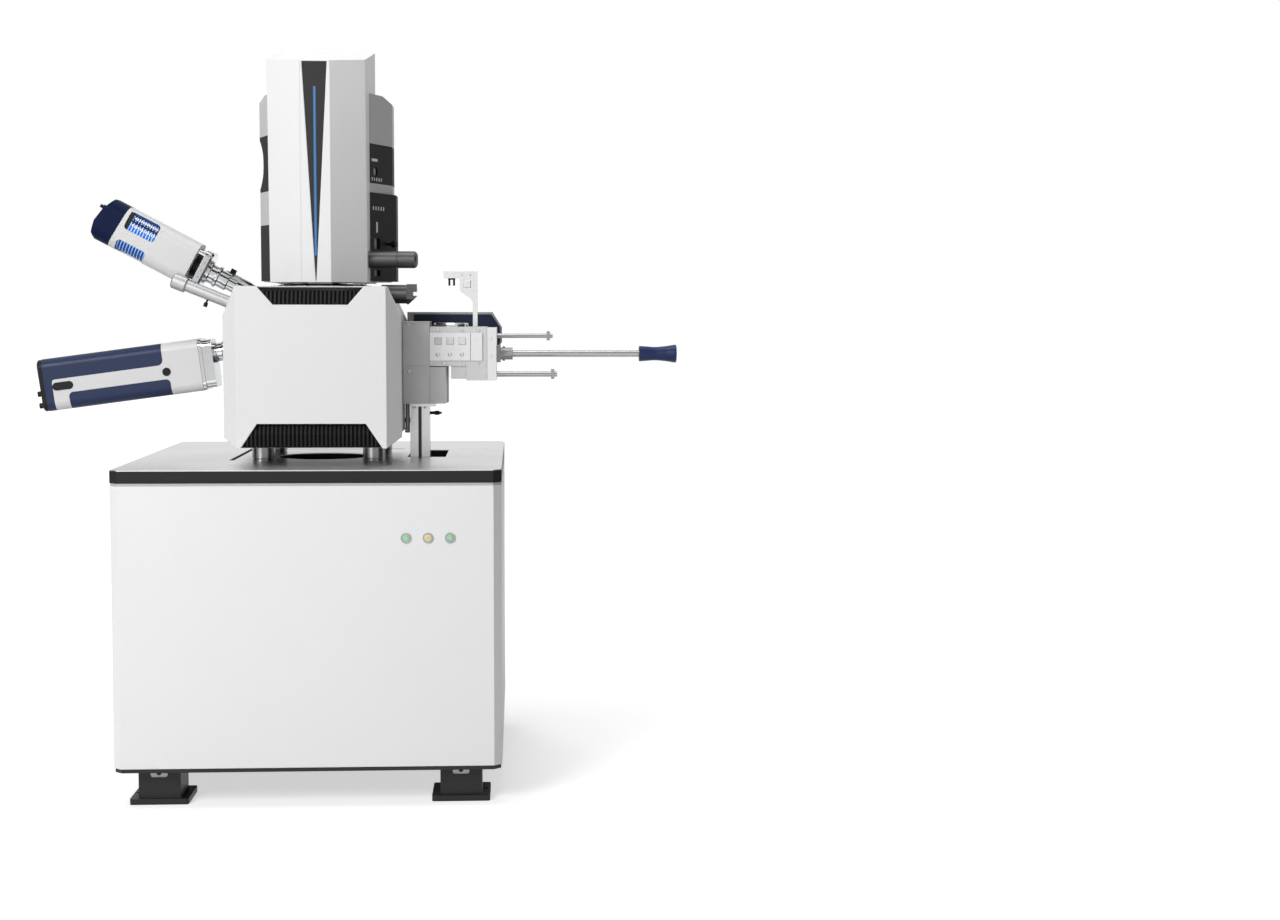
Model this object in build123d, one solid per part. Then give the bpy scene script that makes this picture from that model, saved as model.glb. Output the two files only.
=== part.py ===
"""Scanning electron microscope, main unit: floor console, vacuum chamber, column, detectors and load lock.

Millimetres. X to the right, Y to the back, Z up. The origin is on the floor, midway between the four feet,
which is also the middle of the console's outline. The electron column stands on the line x = 0, y = AXIS_Y.
"""

import math
import os

from build123d import *

os.makedirs("parts", exist_ok=True)

# Driving sizes: console
TABLE_W = 920.0
TABLE_D = 1068.0
TABLE_TOP = 805.0
TABLE_T = 30.0
SKIN_T = 2.0
CORNER = 19.0
PANEL_BOTTOM = 96.0
PANEL_TOP = 768.0
PANEL_T = 3.0
FOOT_X = 360.0
FOOT_Y = 420.5
FOOT_SIZE = 140.0
FOOT_PLATE_T = 14.0
ANCHOR_X = 420.0
ANCHOR_R = 5.5
FRAME_BOTTOM = 86.0
FRAME_TOP = 695.0

# Driving sizes: chamber and door
AXIS_Y = -64.0
PILLAR_X = 138.0
PILLAR_Y = 140.0
PILLAR_R = 28.0
CH_HALF = 208.0
CH_BOTTOM = 850.0
CH_TOP = 1235.0
CH_FRONT = -291.0
CH_BACK = 163.0
WALL = 36.0
GASKET_T = 3.0
DOOR_T = 25.0
COVER_FRONT = -386.0
COVER_HALF = 215.0
COVER_FACE_HALF = 181.0
COVER_BOTTOM = 846.0
COVER_TOP = 1239.0
COVER_T = 3.0
RIB_PITCH = 10.0

# Driving sizes: column
COL_HALF = 122.0
COL_FACET_HALF = 36.0
COL_FRONT = -234.0
COL_BACK = 166.0
COL_BOTTOM = 1250.0
COL_FRONT_TOP = 1795.0
COL_BACK_TOP = 1861.0
COL_T = 3.5
SIDE_TOP = 1733.0

# Driving sizes: load lock
LOCK_Z = 1069.5
LOCK_FRONT = -134.0
LOCK_BACK = 6.0
GATE_X1 = 275.0
LOCK_X1 = 421.0
DOOR_X1 = 445.0
ROD_R = 8.5
BORE_R = 22.5

# Fits
RUN = 0.05
GAP = 0.3


def block(x0, x1, y0, y1, z0, z1):
    """A box between three pairs of faces."""
    middle = Pos((x0 + x1) / 2, (y0 + y1) / 2, (z0 + z1) / 2)
    return middle * Box(x1 - x0, y1 - y0, z1 - z0)


def rod(start, end, radius):
    """A round bar from one point to another."""
    way = Vector(*end) - Vector(*start)
    plane = Plane(origin=start, z_dir=way)
    return plane * Cylinder(radius, way.length, align=(Align.CENTER, Align.CENTER, Align.MIN))


def upright(points, z0, z1):
    """A plan outline raised from z0 to z1."""
    return extrude(Plane.XY.offset(z0) * make_face(Polyline(*points, close=True)), z1 - z0)


def through_y(points, y0, y1):
    """A front outline of x and z points, carried from y0 back to y1."""
    plane = Plane(origin=(0, y0, 0), x_dir=(1, 0, 0), z_dir=(0, 1, 0))
    mirrored = [(x, -z) for x, z in points]
    return extrude(plane * make_face(Polyline(*mirrored, close=True)), y1 - y0)


def through_x(points, x0, x1):
    """A side outline of y and z points, carried from x0 to x1."""
    plane = Plane(origin=(x0, 0, 0), x_dir=(0, 1, 0), z_dir=(1, 0, 0))
    return extrude(plane * make_face(Polyline(*points, close=True)), x1 - x0)


def turned(profile, plane=Plane.XY):
    """A closed outline of radius and height points, turned round the plane's own z."""
    outline = make_face(Plane.XZ * Polyline(*profile, close=True))
    return plane * revolve(outline, Axis.Z, 360)


def save(name, *solids):
    """Writes one node's file."""
    shape = solids[0] if len(solids) == 1 else Compound(children=list(solids))
    export_step(shape, "parts/" + name + ".step")


def both_ways(x, y):
    """Four places, left and right, front and back."""
    return [(sx * x, sy * y) for sx in (-1, 1) for sy in (-1, 1)]


# Outlines used more than once
def console_outline(inset):
    """The console's plan with its four corners cut, drawn in by the inset."""
    w, d = TABLE_W / 2 - inset, TABLE_D / 2 - inset
    c = CORNER - inset * 0.59
    return [
        (-w, -d + c), (-w + c, -d), (w - c, -d), (w, -d + c),
        (w, d - c), (w - c, d), (-w + c, d), (-w, d - c),
    ]


def front_outline(half, bottom, top, inset=0.0):
    """The chamber's eight-sided outline seen from the front, drawn in by the inset."""
    h, b, t = half - inset, bottom + inset, top - inset
    low, across, down = 25.0, 34.0, 71.0
    return [
        (-h + across, t), (h - across, t), (h, t - down), (h, b + low),
        (h - across, b), (-h + across, b), (-h, b + low), (-h, t - down),
    ]


# Feet: a plate with rounded corners and an anchor hole, a square post and a thin cap under the frame
feet = []
for x, y in both_ways(FOOT_X, FOOT_Y):
    plate = Pos(x, y, FOOT_PLATE_T / 2) * Box(FOOT_SIZE, FOOT_SIZE, FOOT_PLATE_T)
    plate = fillet(plate.edges().filter_by(Axis.Z), 7)
    post_z = (FOOT_PLATE_T + FRAME_BOTTOM - 4) / 2
    post = Pos(x, y, post_z) * Box(100, 116, FRAME_BOTTOM - 4 - FOOT_PLATE_T)
    cap = Pos(x, y, FRAME_BOTTOM - 2) * Box(108, 122, 4)
    hole_x = math.copysign(ANCHOR_X, x)
    feet.append(plate + post + cap - rod((hole_x, y, -1), (hole_x, y, FOOT_PLATE_T + 1), ANCHOR_R))
save("feet", *feet)

# Panel tabs: small rounded lugs of the panels screwed to the feet, each with a black screw
tabs, tab_screws = [], []
for x, y in both_ways(FOOT_X, FOOT_Y):
    side = math.copysign(1, y)
    face = y + side * 61.0
    z0, z1 = 66.0, 86.0
    tab = block(x - 20, x + 20, min(face, face + side * 3), max(face, face + side * 3), z0, z1)
    post_face = y + side * 58.0
    pad = block(x - 14, x + 14, min(post_face, face), max(post_face, face), z0 + 3, z1 - 5)
    tabs.append(fillet(tab.edges().filter_by(Axis.Y).group_by(Axis.Z)[0], 5) + pad)
    tab_screws.append(rod((x, face + side * 3, 76), (x, face + side * 7, 76), 5.5))
cap_screws = list(tab_screws)

# Base frame: welded square tube in butted bars, a beam over each pair of feet, a post in each corner
fx, fy = TABLE_W / 2 - PANEL_T, TABLE_D / 2 - PANEL_T
RING_BOTTOM = 662.0


def ring(width, z0, z1):
    """Four bars lying just inside the panels, their corners cut like the panels' corners."""
    outer = upright(console_outline(PANEL_T), z0, z1)
    bars = []
    for side in (-1, 1):
        across = block(-fx, fx, *sorted((side * fy, side * (fy - width))), z0, z1)
        along = block(*sorted((side * fx, side * (fx - width))), -fy + width, fy - width, z0, z1)
        bars += [outer & across, outer & along]
    return bars


frame = ring(40, FRAME_BOTTOM, 126) + ring(100, RING_BOTTOM, FRAME_TOP)
for side in (-1, 1):
    inner, outer_x = FOOT_X - 55, fx - 40
    beam_x = (min(side * inner, side * outer_x), max(side * inner, side * outer_x))
    frame.append(block(*beam_x, -fy + 40, fy - 40, FRAME_BOTTOM, 126))
for x, y in both_ways(fx - 40, fy - 40):
    frame.append(block(x - 20, x + 20, y - 20, y + 20, 126, RING_BOTTOM))

# Outer panels: folded sheet, the front and back ones wrapping round the cut corners
shell = upright(console_outline(0), PANEL_BOTTOM, PANEL_TOP)
shell -= upright(console_outline(PANEL_T), PANEL_BOTTOM, PANEL_TOP)
wrap = TABLE_D / 2 - CORNER - 26
big = TABLE_W
front_panel = shell & block(-big, big, -big, -wrap, 0, 900)
back_panel = shell & block(-big, big, wrap, big, 0, 900)
left_panel = shell & block(-big, 0, -wrap + 2, wrap - 2, 0, 900)
right_panel = shell & block(0, big, -wrap + 2, wrap - 2, 0, 900)

# Three lit push buttons in the front panel: a bezel with a closed barrel, and the plunger in it
BUTTON_X = (234.0, 286.0, 338.0)
BUTTON_Z = 643.5
bezels, plungers = [], []
face_y = -TABLE_D / 2
for x in BUTTON_X:
    front_panel -= rod((x, face_y - 1, BUTTON_Z), (x, face_y + 40, BUTTON_Z), 10.05)
    frame_ring = turned(
        [(8.45, -3), (12.0, -3), (12.5, -2.2), (12.5, 0), (10, 0), (10, 24), (0, 24), (0, 21), (8.45, 21)],
        Plane(origin=(x, face_y, BUTTON_Z), z_dir=(0, 1, 0)),
    )
    bezels.append(frame_ring)
    plunger = turned(
        [(0, -4.2), (5.0, -4.2), (7.6, -3.6), (8.4, -2.6), (8.4, 17.5), (0, 17.5)],
        Plane(origin=(x, face_y, BUTTON_Z), z_dir=(0, 1, 0)),
    )
    plungers.append(plunger)
front_tabs = [tab for tab in tabs if tab.center().Y < 0]
back_tabs = [tab for tab in tabs if tab.center().Y > 0]
save("front_panel", front_panel, *front_tabs)
save("side_panels", left_panel, right_panel)
save("button_bezels", *bezels)
for name, plunger in zip(("operate_button", "standby_button", "vent_button"), plungers):
    save(name, plunger)

# Back panel: two fields of louvres and a row of round cable ports, with a corner sheet welded on each side
for column in (-1, 1):
    for row in range(10):
        z = 560 + row * 16
        back_panel -= block(column * 230 - 110, column * 230 + 110, fy - 5, fy + 5, z, z + 5)
for x in (-150, -50, 50, 150):
    back_panel -= rod((x, fy - 10, 200), (x, fy + 10, 200), 24)
corner_x = TABLE_W / 2 - CORNER - 2
back_sheets = [
    back_panel & block(x0, x1, 0, big, 0, 900)
    for x0, x1 in ((-big, -corner_x), (-corner_x, corner_x), (corner_x, big))
]
save("back_panel", *back_sheets, *back_tabs)

# Trim strip: the grey line between the panels and the table
trim = upright(console_outline(1.5), PANEL_TOP, TABLE_TOP - TABLE_T - 0.4)
trim -= upright(console_outline(6), PANEL_TOP - 1, TABLE_TOP)
save("trim_strip", trim)

# Air mounts: four pneumatic isolators between the frame and the table, grouped with the frame
mounts = []
for x, y in both_ways(fx - 52, fy - 52):
    mounts.append(
        turned(
            [
                (0, 0), (46, 0), (46, 26), (42, 30), (46, 36), (46, 46),
                (42, 52), (46, 58), (46, 66), (20, 66), (20, 80), (0, 80),
            ],
            Plane(origin=(x, y, FRAME_TOP)),
        )
    )
save("base_frame", *frame, *mounts)

# Table: a black core board with a bright steel skin, and its openings
HOLE_R = 117.0
POST_X0, POST_X1 = 223.0, 273.0
POST_Y0, POST_Y1 = -99.0, -49.0
cuts = [rod((0, AXIS_Y, 700), (0, AXIS_Y, 900), HOLE_R)]
cuts.append(block(-224, -212, -206, 240, 700, 900))
cuts.append(block(POST_X0 - 8, 313, -104, 161, 700, 900))
cuts.append(block(-180, POST_X0 - 30, 200, 214, 700, 900))
HOLE_SPACING = 60.0
for side in (-1, 1):
    for k in (-0.5, 0.5):
        x = side * 380 + k * HOLE_SPACING
        cuts.append(rod((x, 206, 700), (x, 206, 900), 4.5))
core = upright(console_outline(0), TABLE_TOP - TABLE_T, TABLE_TOP - SKIN_T)
skin = upright(console_outline(0.6), TABLE_TOP - SKIN_T, TABLE_TOP)
for cut in cuts:
    core -= cut
    skin -= cut
save("table_core", core)
save("table_skin", skin)

# Pillars: four polished posts with a narrow foot ring
pillars = []
for x, y in both_ways(PILLAR_X, PILLAR_Y):
    h = CH_BOTTOM - TABLE_TOP
    pillars.append(
        turned(
            [(0, 0), (PILLAR_R, 0), (PILLAR_R, 3), (PILLAR_R - 1.5, 4), (PILLAR_R - 1.5, 6), (PILLAR_R, 7),
             (PILLAR_R, h - 2), (PILLAR_R - 2, h), (0, h)],
            Plane(origin=(x, AXIS_Y + y, TABLE_TOP)),
        )
    )
save("pillars", *pillars)

# Frames of the two detectors and the two slim tubes on the left, each looking out along its own axis
UP_ANGLE = math.radians(28)
EDS_ANGLE = math.radians(7.7)
SLIM_ANGLE = math.radians(21.8)
REAR_ANGLE = math.radians(28)


def outward(origin, angle):
    """Local z points out to the left at the angle above level, local x to the front, local y up."""
    way = (-math.cos(angle), 0, math.sin(angle))
    return Plane(origin=origin, x_dir=(0, -1, 0), z_dir=way)


up = outward((-325.7, AXIS_Y, 1295), UP_ANGLE)
eds = outward((-305, AXIS_Y, 1042), -EDS_ANGLE)
slim = outward((-219.5, -134, 1196.5), SLIM_ANGLE)
rear = outward((-200, 26, 1234.8), REAR_ANGLE)
EDS_LIFT = 26.0


def on(plane, solid):
    """Carries a solid drawn at the origin onto a plane."""
    return plane * solid


def local_rod(plane, x, y, z0, z1, r):
    """A round bar along a plane's z."""
    return plane * (Pos(x, y, z0) * Cylinder(r, z1 - z0, align=(Align.CENTER, Align.CENTER, Align.MIN)))


# Chamber body: seven thick plates welded into an eight-sided box, open at the front, bored for its ports
CAVITY_X = CH_HALF - WALL
CAVITY_Z0 = CH_BOTTOM + 35
CAVITY_Z1 = CH_TOP - 35
body_outline = [
    (-165, CH_TOP), (165, CH_TOP), (CH_HALF, CH_TOP - 90), (CH_HALF, CH_BOTTOM + 25),
    (CH_HALF - 25, CH_BOTTOM), (-CH_HALF + 25, CH_BOTTOM), (-CH_HALF, CH_BOTTOM + 25),
    (-CH_HALF, CH_TOP - 90),
]
cavity_outline = [
    (-142, CAVITY_Z1), (142, CAVITY_Z1), (CAVITY_X, CAVITY_Z1 - 62), (CAVITY_X, CAVITY_Z0),
    (-CAVITY_X, CAVITY_Z0), (-CAVITY_X, CAVITY_Z1 - 62),
]
body = through_y(body_outline, CH_FRONT, CH_BACK)
body -= through_y(cavity_outline, CH_FRONT - 1, CH_BACK - WALL)
LENS_R = 99.5
body -= rod((0, AXIS_Y, CAVITY_Z1 - 1), (0, AXIS_Y, CH_TOP + 1), LENS_R + 0.5)
body -= rod((CAVITY_X - 5, AXIS_Y, LOCK_Z), (CH_HALF + 5, AXIS_Y, LOCK_Z), BORE_R)
SNOUT_R = 13.0
body -= local_rod(eds, 0, EDS_LIFT, -190, -60, SNOUT_R + 1.5)
body -= local_rod(up, 0, 0, -260, -90, 17.0)
body -= local_rod(slim, 0, 0, -80, 30, 12.0)
body -= local_rod(rear, 0, 0, -80, 30, 12.0)
GUIDE_X, GUIDE_Z, GUIDE_R = 180.0, CH_BOTTOM + 16, 8.0
for side in (-1, 1):
    body -= rod((side * GUIDE_X, CH_FRONT - 1, GUIDE_Z), (side * GUIDE_X, 110, GUIDE_Z), GUIDE_R + RUN)
PUMP_Z = 1010.0
body -= rod((0, CH_BACK - WALL - 1, PUMP_Z), (0, CH_BACK + 1, PUMP_Z), 62)
AUX_Z, AUX_PCD, AUX_X = 1160.0, 66.0, 110.0
for side in (-1, 1):
    body -= rod((side * AUX_X, CH_BACK - 8, AUX_Z), (side * AUX_X, CH_BACK + 1, AUX_Z), 22)
    for k in range(6):
        a = math.radians(60 * k + 30)
        x, z = side * AUX_X + AUX_PCD / 2 * math.cos(a), AUX_Z + AUX_PCD / 2 * math.sin(a)
        body -= rod((x, CH_BACK - 14, z), (x, CH_BACK + 1, z), 2.5)
WALL_X, SHOULDER_Z, BACK_Y = 400.0, CAVITY_Z1 - 62, CH_BACK - WALL
plates = [
    block(-WALL_X, WALL_X, CH_FRONT, CH_BACK, CH_BOTTOM, CAVITY_Z0),
    block(-WALL_X, WALL_X, CH_FRONT, CH_BACK, CAVITY_Z1, CH_TOP),
    block(-WALL_X, WALL_X, BACK_Y, CH_BACK, CAVITY_Z0, CAVITY_Z1),
]
for x0, x1 in ((-WALL_X, 0), (0, WALL_X)):
    plates.append(block(x0, x1, CH_FRONT, BACK_Y, CAVITY_Z0, SHOULDER_Z))
    plates.append(block(x0, x1, CH_FRONT, BACK_Y, SHOULDER_Z, CAVITY_Z1))
chamber = [(body & plate).solids().sort_by(SortBy.VOLUME)[-1] for plate in plates]
save("chamber_body", *chamber)

# Turbo pump on the back wall: flange, ribbed body and connector box
pump_plane = Plane(origin=(0, CH_BACK, PUMP_Z), z_dir=(0, 1, 0))
profile = [(0, 0), (82, 0), (82, 14), (66, 14), (66, 30)]
for k in range(6):
    z = 34 + 16 * k
    profile += [(66, z), (62, z + 3), (62, z + 6), (66, z + 9)]
profile += [(66, 140), (58, 160), (0, 160)]
pump = turned(profile, pump_plane)
pump += block(-30, 30, CH_BACK + 60, CH_BACK + 130, PUMP_Z - 96, PUMP_Z - 50)
save("turbo_pump", pump)

# Door gasket: a black ring let in between door and chamber
gasket_y0 = CH_FRONT - GASKET_T


ring_out = [
    (-144, CAVITY_Z1 + 8), (144, CAVITY_Z1 + 8),
    (CAVITY_X + 8, CAVITY_Z1 - 60), (CAVITY_X + 8, CAVITY_Z0 + 8),
    (CAVITY_X - 12, CAVITY_Z0 - 8), (-CAVITY_X + 12, CAVITY_Z0 - 8), (-CAVITY_X - 8, CAVITY_Z0 + 8),
    (-CAVITY_X - 8, CAVITY_Z1 - 60),
]
ring_in = [
    (-136, CAVITY_Z1 - 6), (136, CAVITY_Z1 - 6),
    (CAVITY_X - 6, CAVITY_Z1 - 66), (CAVITY_X - 6, CAVITY_Z0 + 16),
    (CAVITY_X - 18, CAVITY_Z0 + 4), (-CAVITY_X + 18, CAVITY_Z0 + 4), (-CAVITY_X + 6, CAVITY_Z0 + 16),
    (-CAVITY_X + 6, CAVITY_Z1 - 66),
]
gasket = through_y(ring_out, gasket_y0, CH_FRONT) - through_y(ring_in, gasket_y0 - 1, CH_FRONT + 1)
save("door_gasket", gasket)

# Door plate with its two guide rods
DOOR_Y0 = gasket_y0 - DOOR_T
door = through_y(front_outline(COVER_HALF, COVER_BOTTOM, COVER_TOP, 4), DOOR_Y0, gasket_y0)
guides = [
    rod((side * GUIDE_X, gasket_y0, GUIDE_Z), (side * GUIDE_X, 96, GUIDE_Z), GUIDE_R) for side in (-1, 1)
]
save("door_plate", door, *guides)

# Door cover: the white eight-sided hood, its upright edges slanted, its front notched for the vents
DEPTH = DOOR_Y0 - COVER_FRONT
SLANT = 37.0


def hood(inset, back):
    """The hood's outside, or with an inset the hollow inside it."""
    outline = front_outline(COVER_HALF, COVER_BOTTOM, COVER_TOP, inset)
    solid = through_y(outline, COVER_FRONT + inset, back)
    half, face = COVER_HALF - inset, COVER_FACE_HALF - inset * 0.45
    front, slant = COVER_FRONT + inset, COVER_FRONT + SLANT + inset * 0.5
    plan = [(-face, front), (face, front), (half, slant), (half, back + 1), (-half, back + 1), (-half, slant)]
    return solid & upright(plan, 700, 1400)


TOP_WIDE, TOP_NARROW, TOP_DEEP = 130.0, 90.0, 45.0
LOW_WIDE, LOW_NARROW, LOW_DEEP = 172.0, 131.0, 60.0


def top_notch(grow):
    """The upper vent's outline, grown by a clearance."""
    z = COVER_TOP - TOP_DEEP - grow
    wide, narrow = TOP_WIDE + grow, TOP_NARROW + grow
    return [(-wide, COVER_TOP + 1), (-narrow, z), (narrow, z), (wide, COVER_TOP + 1)]


def low_notch(grow):
    """The lower vent's outline, grown by a clearance."""
    z = COVER_BOTTOM + LOW_DEEP + grow
    wide, narrow = LOW_WIDE + grow, LOW_NARROW + grow
    return [(-wide, COVER_BOTTOM - 1), (-narrow, z), (narrow, z), (wide, COVER_BOTTOM - 1)]


cover = hood(0, DOOR_Y0) - hood(COVER_T, DOOR_Y0 + 5)
VENT_DEEP = 30.0
cover -= through_y(top_notch(0), COVER_FRONT - 1, COVER_FRONT + VENT_DEEP)
cover -= through_y(low_notch(0), COVER_FRONT - 1, COVER_FRONT + VENT_DEEP)
for side in (-1, 1):
    pad_x = side * 150
    cover += block(pad_x - 12, pad_x + 12, COVER_FRONT + COVER_T - 0.5, DOOR_Y0, 1040, 1064)
save("door_cover", cover)

# Vents: black corrugated inserts, sloped back from the front face, with upright ribs
top_side = [
    (COVER_FRONT + 1, COVER_TOP - TOP_DEEP), (COVER_FRONT + 14, COVER_TOP - 3),
    (COVER_FRONT + VENT_DEEP, COVER_TOP - 3), (COVER_FRONT + VENT_DEEP, COVER_TOP - TOP_DEEP),
]
low_side = [
    (COVER_FRONT + 12, COVER_BOTTOM + LOW_DEEP), (COVER_FRONT + VENT_DEEP, COVER_BOTTOM + LOW_DEEP),
    (COVER_FRONT + VENT_DEEP, COVER_BOTTOM + 2), (COVER_FRONT + 3, COVER_BOTTOM + 2),
    (COVER_FRONT + 1, COVER_BOTTOM + 34),
]
vent_top = through_x(top_side, -200, 200) & through_y(top_notch(0), COVER_FRONT - 1, COVER_FRONT + VENT_DEEP)
vent_low = through_x(low_side, -200, 200) & through_y(low_notch(0), COVER_FRONT - 1, COVER_FRONT + VENT_DEEP)
RIB_DEEP = 5.0
rib_floor = COVER_FRONT + RIB_DEEP
top_groove = [
    (COVER_FRONT - 1, COVER_TOP - TOP_DEEP - 1), (rib_floor, COVER_TOP - TOP_DEEP - 1),
    (rib_floor + 10.5, COVER_TOP - 12), (COVER_FRONT - 1, COVER_TOP - 12),
]
low_groove = [
    (COVER_FRONT - 1, COVER_BOTTOM + 1), (rib_floor + 2.5, COVER_BOTTOM + 1),
    (rib_floor + 0.5, COVER_BOTTOM + 34), (rib_floor + 10.5, COVER_BOTTOM + LOW_DEEP + 1),
    (COVER_FRONT - 1, COVER_BOTTOM + LOW_DEEP + 1),
]
for k in range(-17, 18):
    x = k * RIB_PITCH
    if abs(x) < TOP_WIDE - 2:
        vent_top -= through_x(top_groove, x - 2.5, x + 2.5)
    vent_low -= through_x(low_groove, x - 2.5, x + 2.5)
save("door_vents", vent_top.solids().sort_by(SortBy.VOLUME)[-1], vent_low.solids().sort_by(SortBy.VOLUME)[-1])

# Specimen stage, carried by the door: base with Y rails, then Y, X, Z, tilt and rotation
STAGE_Z = CAVITY_Z0 + 8
stage_base = block(-110, 110, gasket_y0, 40, STAGE_Z, STAGE_Z + 14)
stage_base += block(-110, 110, gasket_y0, gasket_y0 + 12, STAGE_Z, STAGE_Z + 70)
for side in (-1, 1):
    stage_base += block(side * 88 - 7, side * 88 + 7, -265, 34, STAGE_Z + 14, STAGE_Z + 24)
save("stage_base", stage_base)
y0 = STAGE_Z + 24 + RUN
stage_y = block(-98, 98, AXIS_Y - 70, AXIS_Y + 70, y0, y0 + 13)
for side in (-1, 1):
    stage_y += block(-98, 98, AXIS_Y + side * 50 - 6, AXIS_Y + side * 50 + 6, y0 + 13, y0 + 21)
    stage_y += block(side * 74 - 6, side * 74 + 6, AXIS_Y - 60, AXIS_Y + 60, y0 - 7, y0)
save("stage_y", stage_y)
x0 = y0 + 21 + RUN
POST_BACK = AXIS_Y + 68
stage_x = block(-45, 45, AXIS_Y - 60, POST_BACK, x0, x0 + 11)
stage_x += block(-24, 24, POST_BACK - 20, POST_BACK, x0 + 11, x0 + 104)
save("stage_x", stage_x)
TILT_Z = 1062.0
zface = POST_BACK - 20 - RUN
stage_z = block(-30, 30, zface - 13, zface, TILT_Z - 76, TILT_Z - 8)
for side in (-1, 1):
    arm = block(side * 38 - 4, side * 38 + 4, AXIS_Y - 14, zface, TILT_Z - 34, TILT_Z + 10)
    tie = block(*sorted((side * 28, side * 42)), zface - 13, zface, TILT_Z - 40, TILT_Z - 8)
    stage_z += arm + tie
stage_z -= rod((-60, AXIS_Y, TILT_Z), (60, AXIS_Y, TILT_Z), 5 + RUN)
save("stage_z", stage_z)
stage_tilt = block(-31, 31, AXIS_Y - 24, AXIS_Y + 24, TILT_Z - 12, TILT_Z - 4)
for side in (-1, 1):
    cheek = block(side * 31 - 2.5, side * 31 + 2.5, AXIS_Y - 10, AXIS_Y + 10, TILT_Z - 12, TILT_Z + 8)
    stage_tilt += cheek + rod((side * 30, AXIS_Y, TILT_Z), (side * 43, AXIS_Y, TILT_Z), 5)
save("stage_tilt", stage_tilt)
r0 = TILT_Z - 4 + RUN
turntable = turned(
    [(0, 0), (20, 0), (20, 6), (8, 7), (8, 30), (16, 32), (16, 40), (0, 40)], Plane(origin=(0, AXIS_Y, r0))
)
turntable -= block(-20.5, -17.5, AXIS_Y - 1.5, AXIS_Y + 1.5, r0, r0 + 7)
save("stage_turntable", turntable)

# Objective lens in the chamber roof, with its pole piece
lens = turned(
    [(4, 1112), (22, 1112), (26, 1116), (84, CAVITY_Z1), (LENS_R, CAVITY_Z1), (LENS_R, CH_TOP), (4, CH_TOP)],
    Plane(origin=(0, AXIS_Y, 0)),
)
save("objective_lens", lens)

# Steel collar on the chamber roof, and its ring of cap screws
collar = turned(
    [
        (66, CH_TOP), (118, CH_TOP), (118, CH_TOP + 7), (112, CH_TOP + 9),
        (100, CH_TOP + 12), (66, CH_TOP + 12),
    ],
    Plane(origin=(0, AXIS_Y, 0)),
)
collar_screws = []
for k in range(12):
    a = math.radians(30 * k + 15)
    x, y = 126.5 * math.cos(a), AXIS_Y + 126.5 * math.sin(a)
    collar_screws.append(rod((x, y, CH_TOP), (x, y, CH_TOP + 8), 6))
cap_screws += collar_screws

# Column inside the cover: lens stack, gun head and two ion pumps
stack = turned(
    [
        (4, CH_TOP), (62, CH_TOP), (62, 1290), (55, 1296), (55, 1400), (68, 1404),
        (68, 1440), (50, 1446), (50, 1560), (64, 1564), (64, 1600), (4, 1600),
    ],
    Plane(origin=(0, AXIS_Y, 0)),
)
CYL_Y, CYL_Z, CYL_R = AXIS_Y - 50, 1309.0, 21.5
gun = turned(
    [(0, 1600), (76, 1600), (76, 1690), (60, 1700), (60, 1740), (20, 1750), (20, 1770), (0, 1770)],
    Plane(origin=(0, AXIS_Y, 0)),
)
pumps = []
for z in (1470, 1640):
    pump_box = block(-48, 48, AXIS_Y + 110, AXIS_Y + 200, z - 50, z + 50)
    reach = rod((0, AXIS_Y + (50 if z < 1560 else 76) - 3, z), (0, AXIS_Y + 112, z), 16)
    keep = rod((0, AXIS_Y, z - 60), (0, AXIS_Y, z + 60), (50 if z < 1560 else 76) + GAP)
    pumps.append(pump_box + (reach - keep))
save("electron_column", stack, gun, *pumps)

# Column cover: a folded hood with a flat front facet, two slanted ones, and a roof rising to the back
FLARE_TOP, FLARE_LOW = 45.0, 75.0


def column_plan(inset, flare, back):
    """The cover's six-sided plan, drawn in by the inset."""
    w, f = COL_HALF - inset, COL_FACET_HALF - inset * 0.3
    y, slant = COL_FRONT + inset, COL_FRONT + flare + inset * 0.7
    return [(-f, y), (f, y), (w, slant), (w, back), (-w, back), (-w, slant)]


def column_hood(inset, bottom, back):
    """The cover's outside, or with an inset the hollow inside it."""
    low = Plane.XY.offset(bottom) * make_face(Polyline(*column_plan(inset, FLARE_LOW, back), close=True))
    high = Plane.XY.offset(1900) * make_face(Polyline(*column_plan(inset, FLARE_TOP, back), close=True))
    solid = loft([low, high])
    rise = (COL_BACK_TOP - COL_FRONT_TOP) / (COL_BACK - COL_FRONT)
    drop = inset * 1.02
    roof = [(COL_FRONT - 50, 1100), (COL_FRONT - 50, COL_FRONT_TOP - 50 * rise - drop),
            (COL_BACK + 50, COL_BACK_TOP + 50 * rise - drop), (COL_BACK + 50, 1100)]
    return solid & through_x(roof, -300, 300)


column_cover = column_hood(0, COL_BOTTOM, COL_BACK) - column_hood(COL_T, COL_BOTTOM - 0.001, COL_BACK + 20)
column_cover -= rod((COL_HALF - 8, CYL_Y, CYL_Z), (COL_HALF + 5, CYL_Y, CYL_Z), CYL_R + 1)
TRI_TOP_HALF, TRI_TOP, TRI_APEX = 31.0, COL_FRONT_TOP - 2, 1254.0
tri = [(-TRI_TOP_HALF, TRI_TOP), (TRI_TOP_HALF, TRI_TOP), (0.8, TRI_APEX), (-0.8, TRI_APEX)]
column_cover -= through_y(tri, COL_FRONT - 1, COL_FRONT + 2)
for side in (-1, 1):
    for inner, outer in ((70, 90), (88, COL_HALF - 1)):
        flange_x = sorted((side * inner, side * outer))
        column_cover += block(*flange_x, AXIS_Y - 40, AXIS_Y + 150, COL_BOTTOM, COL_BOTTOM + 4)

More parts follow.
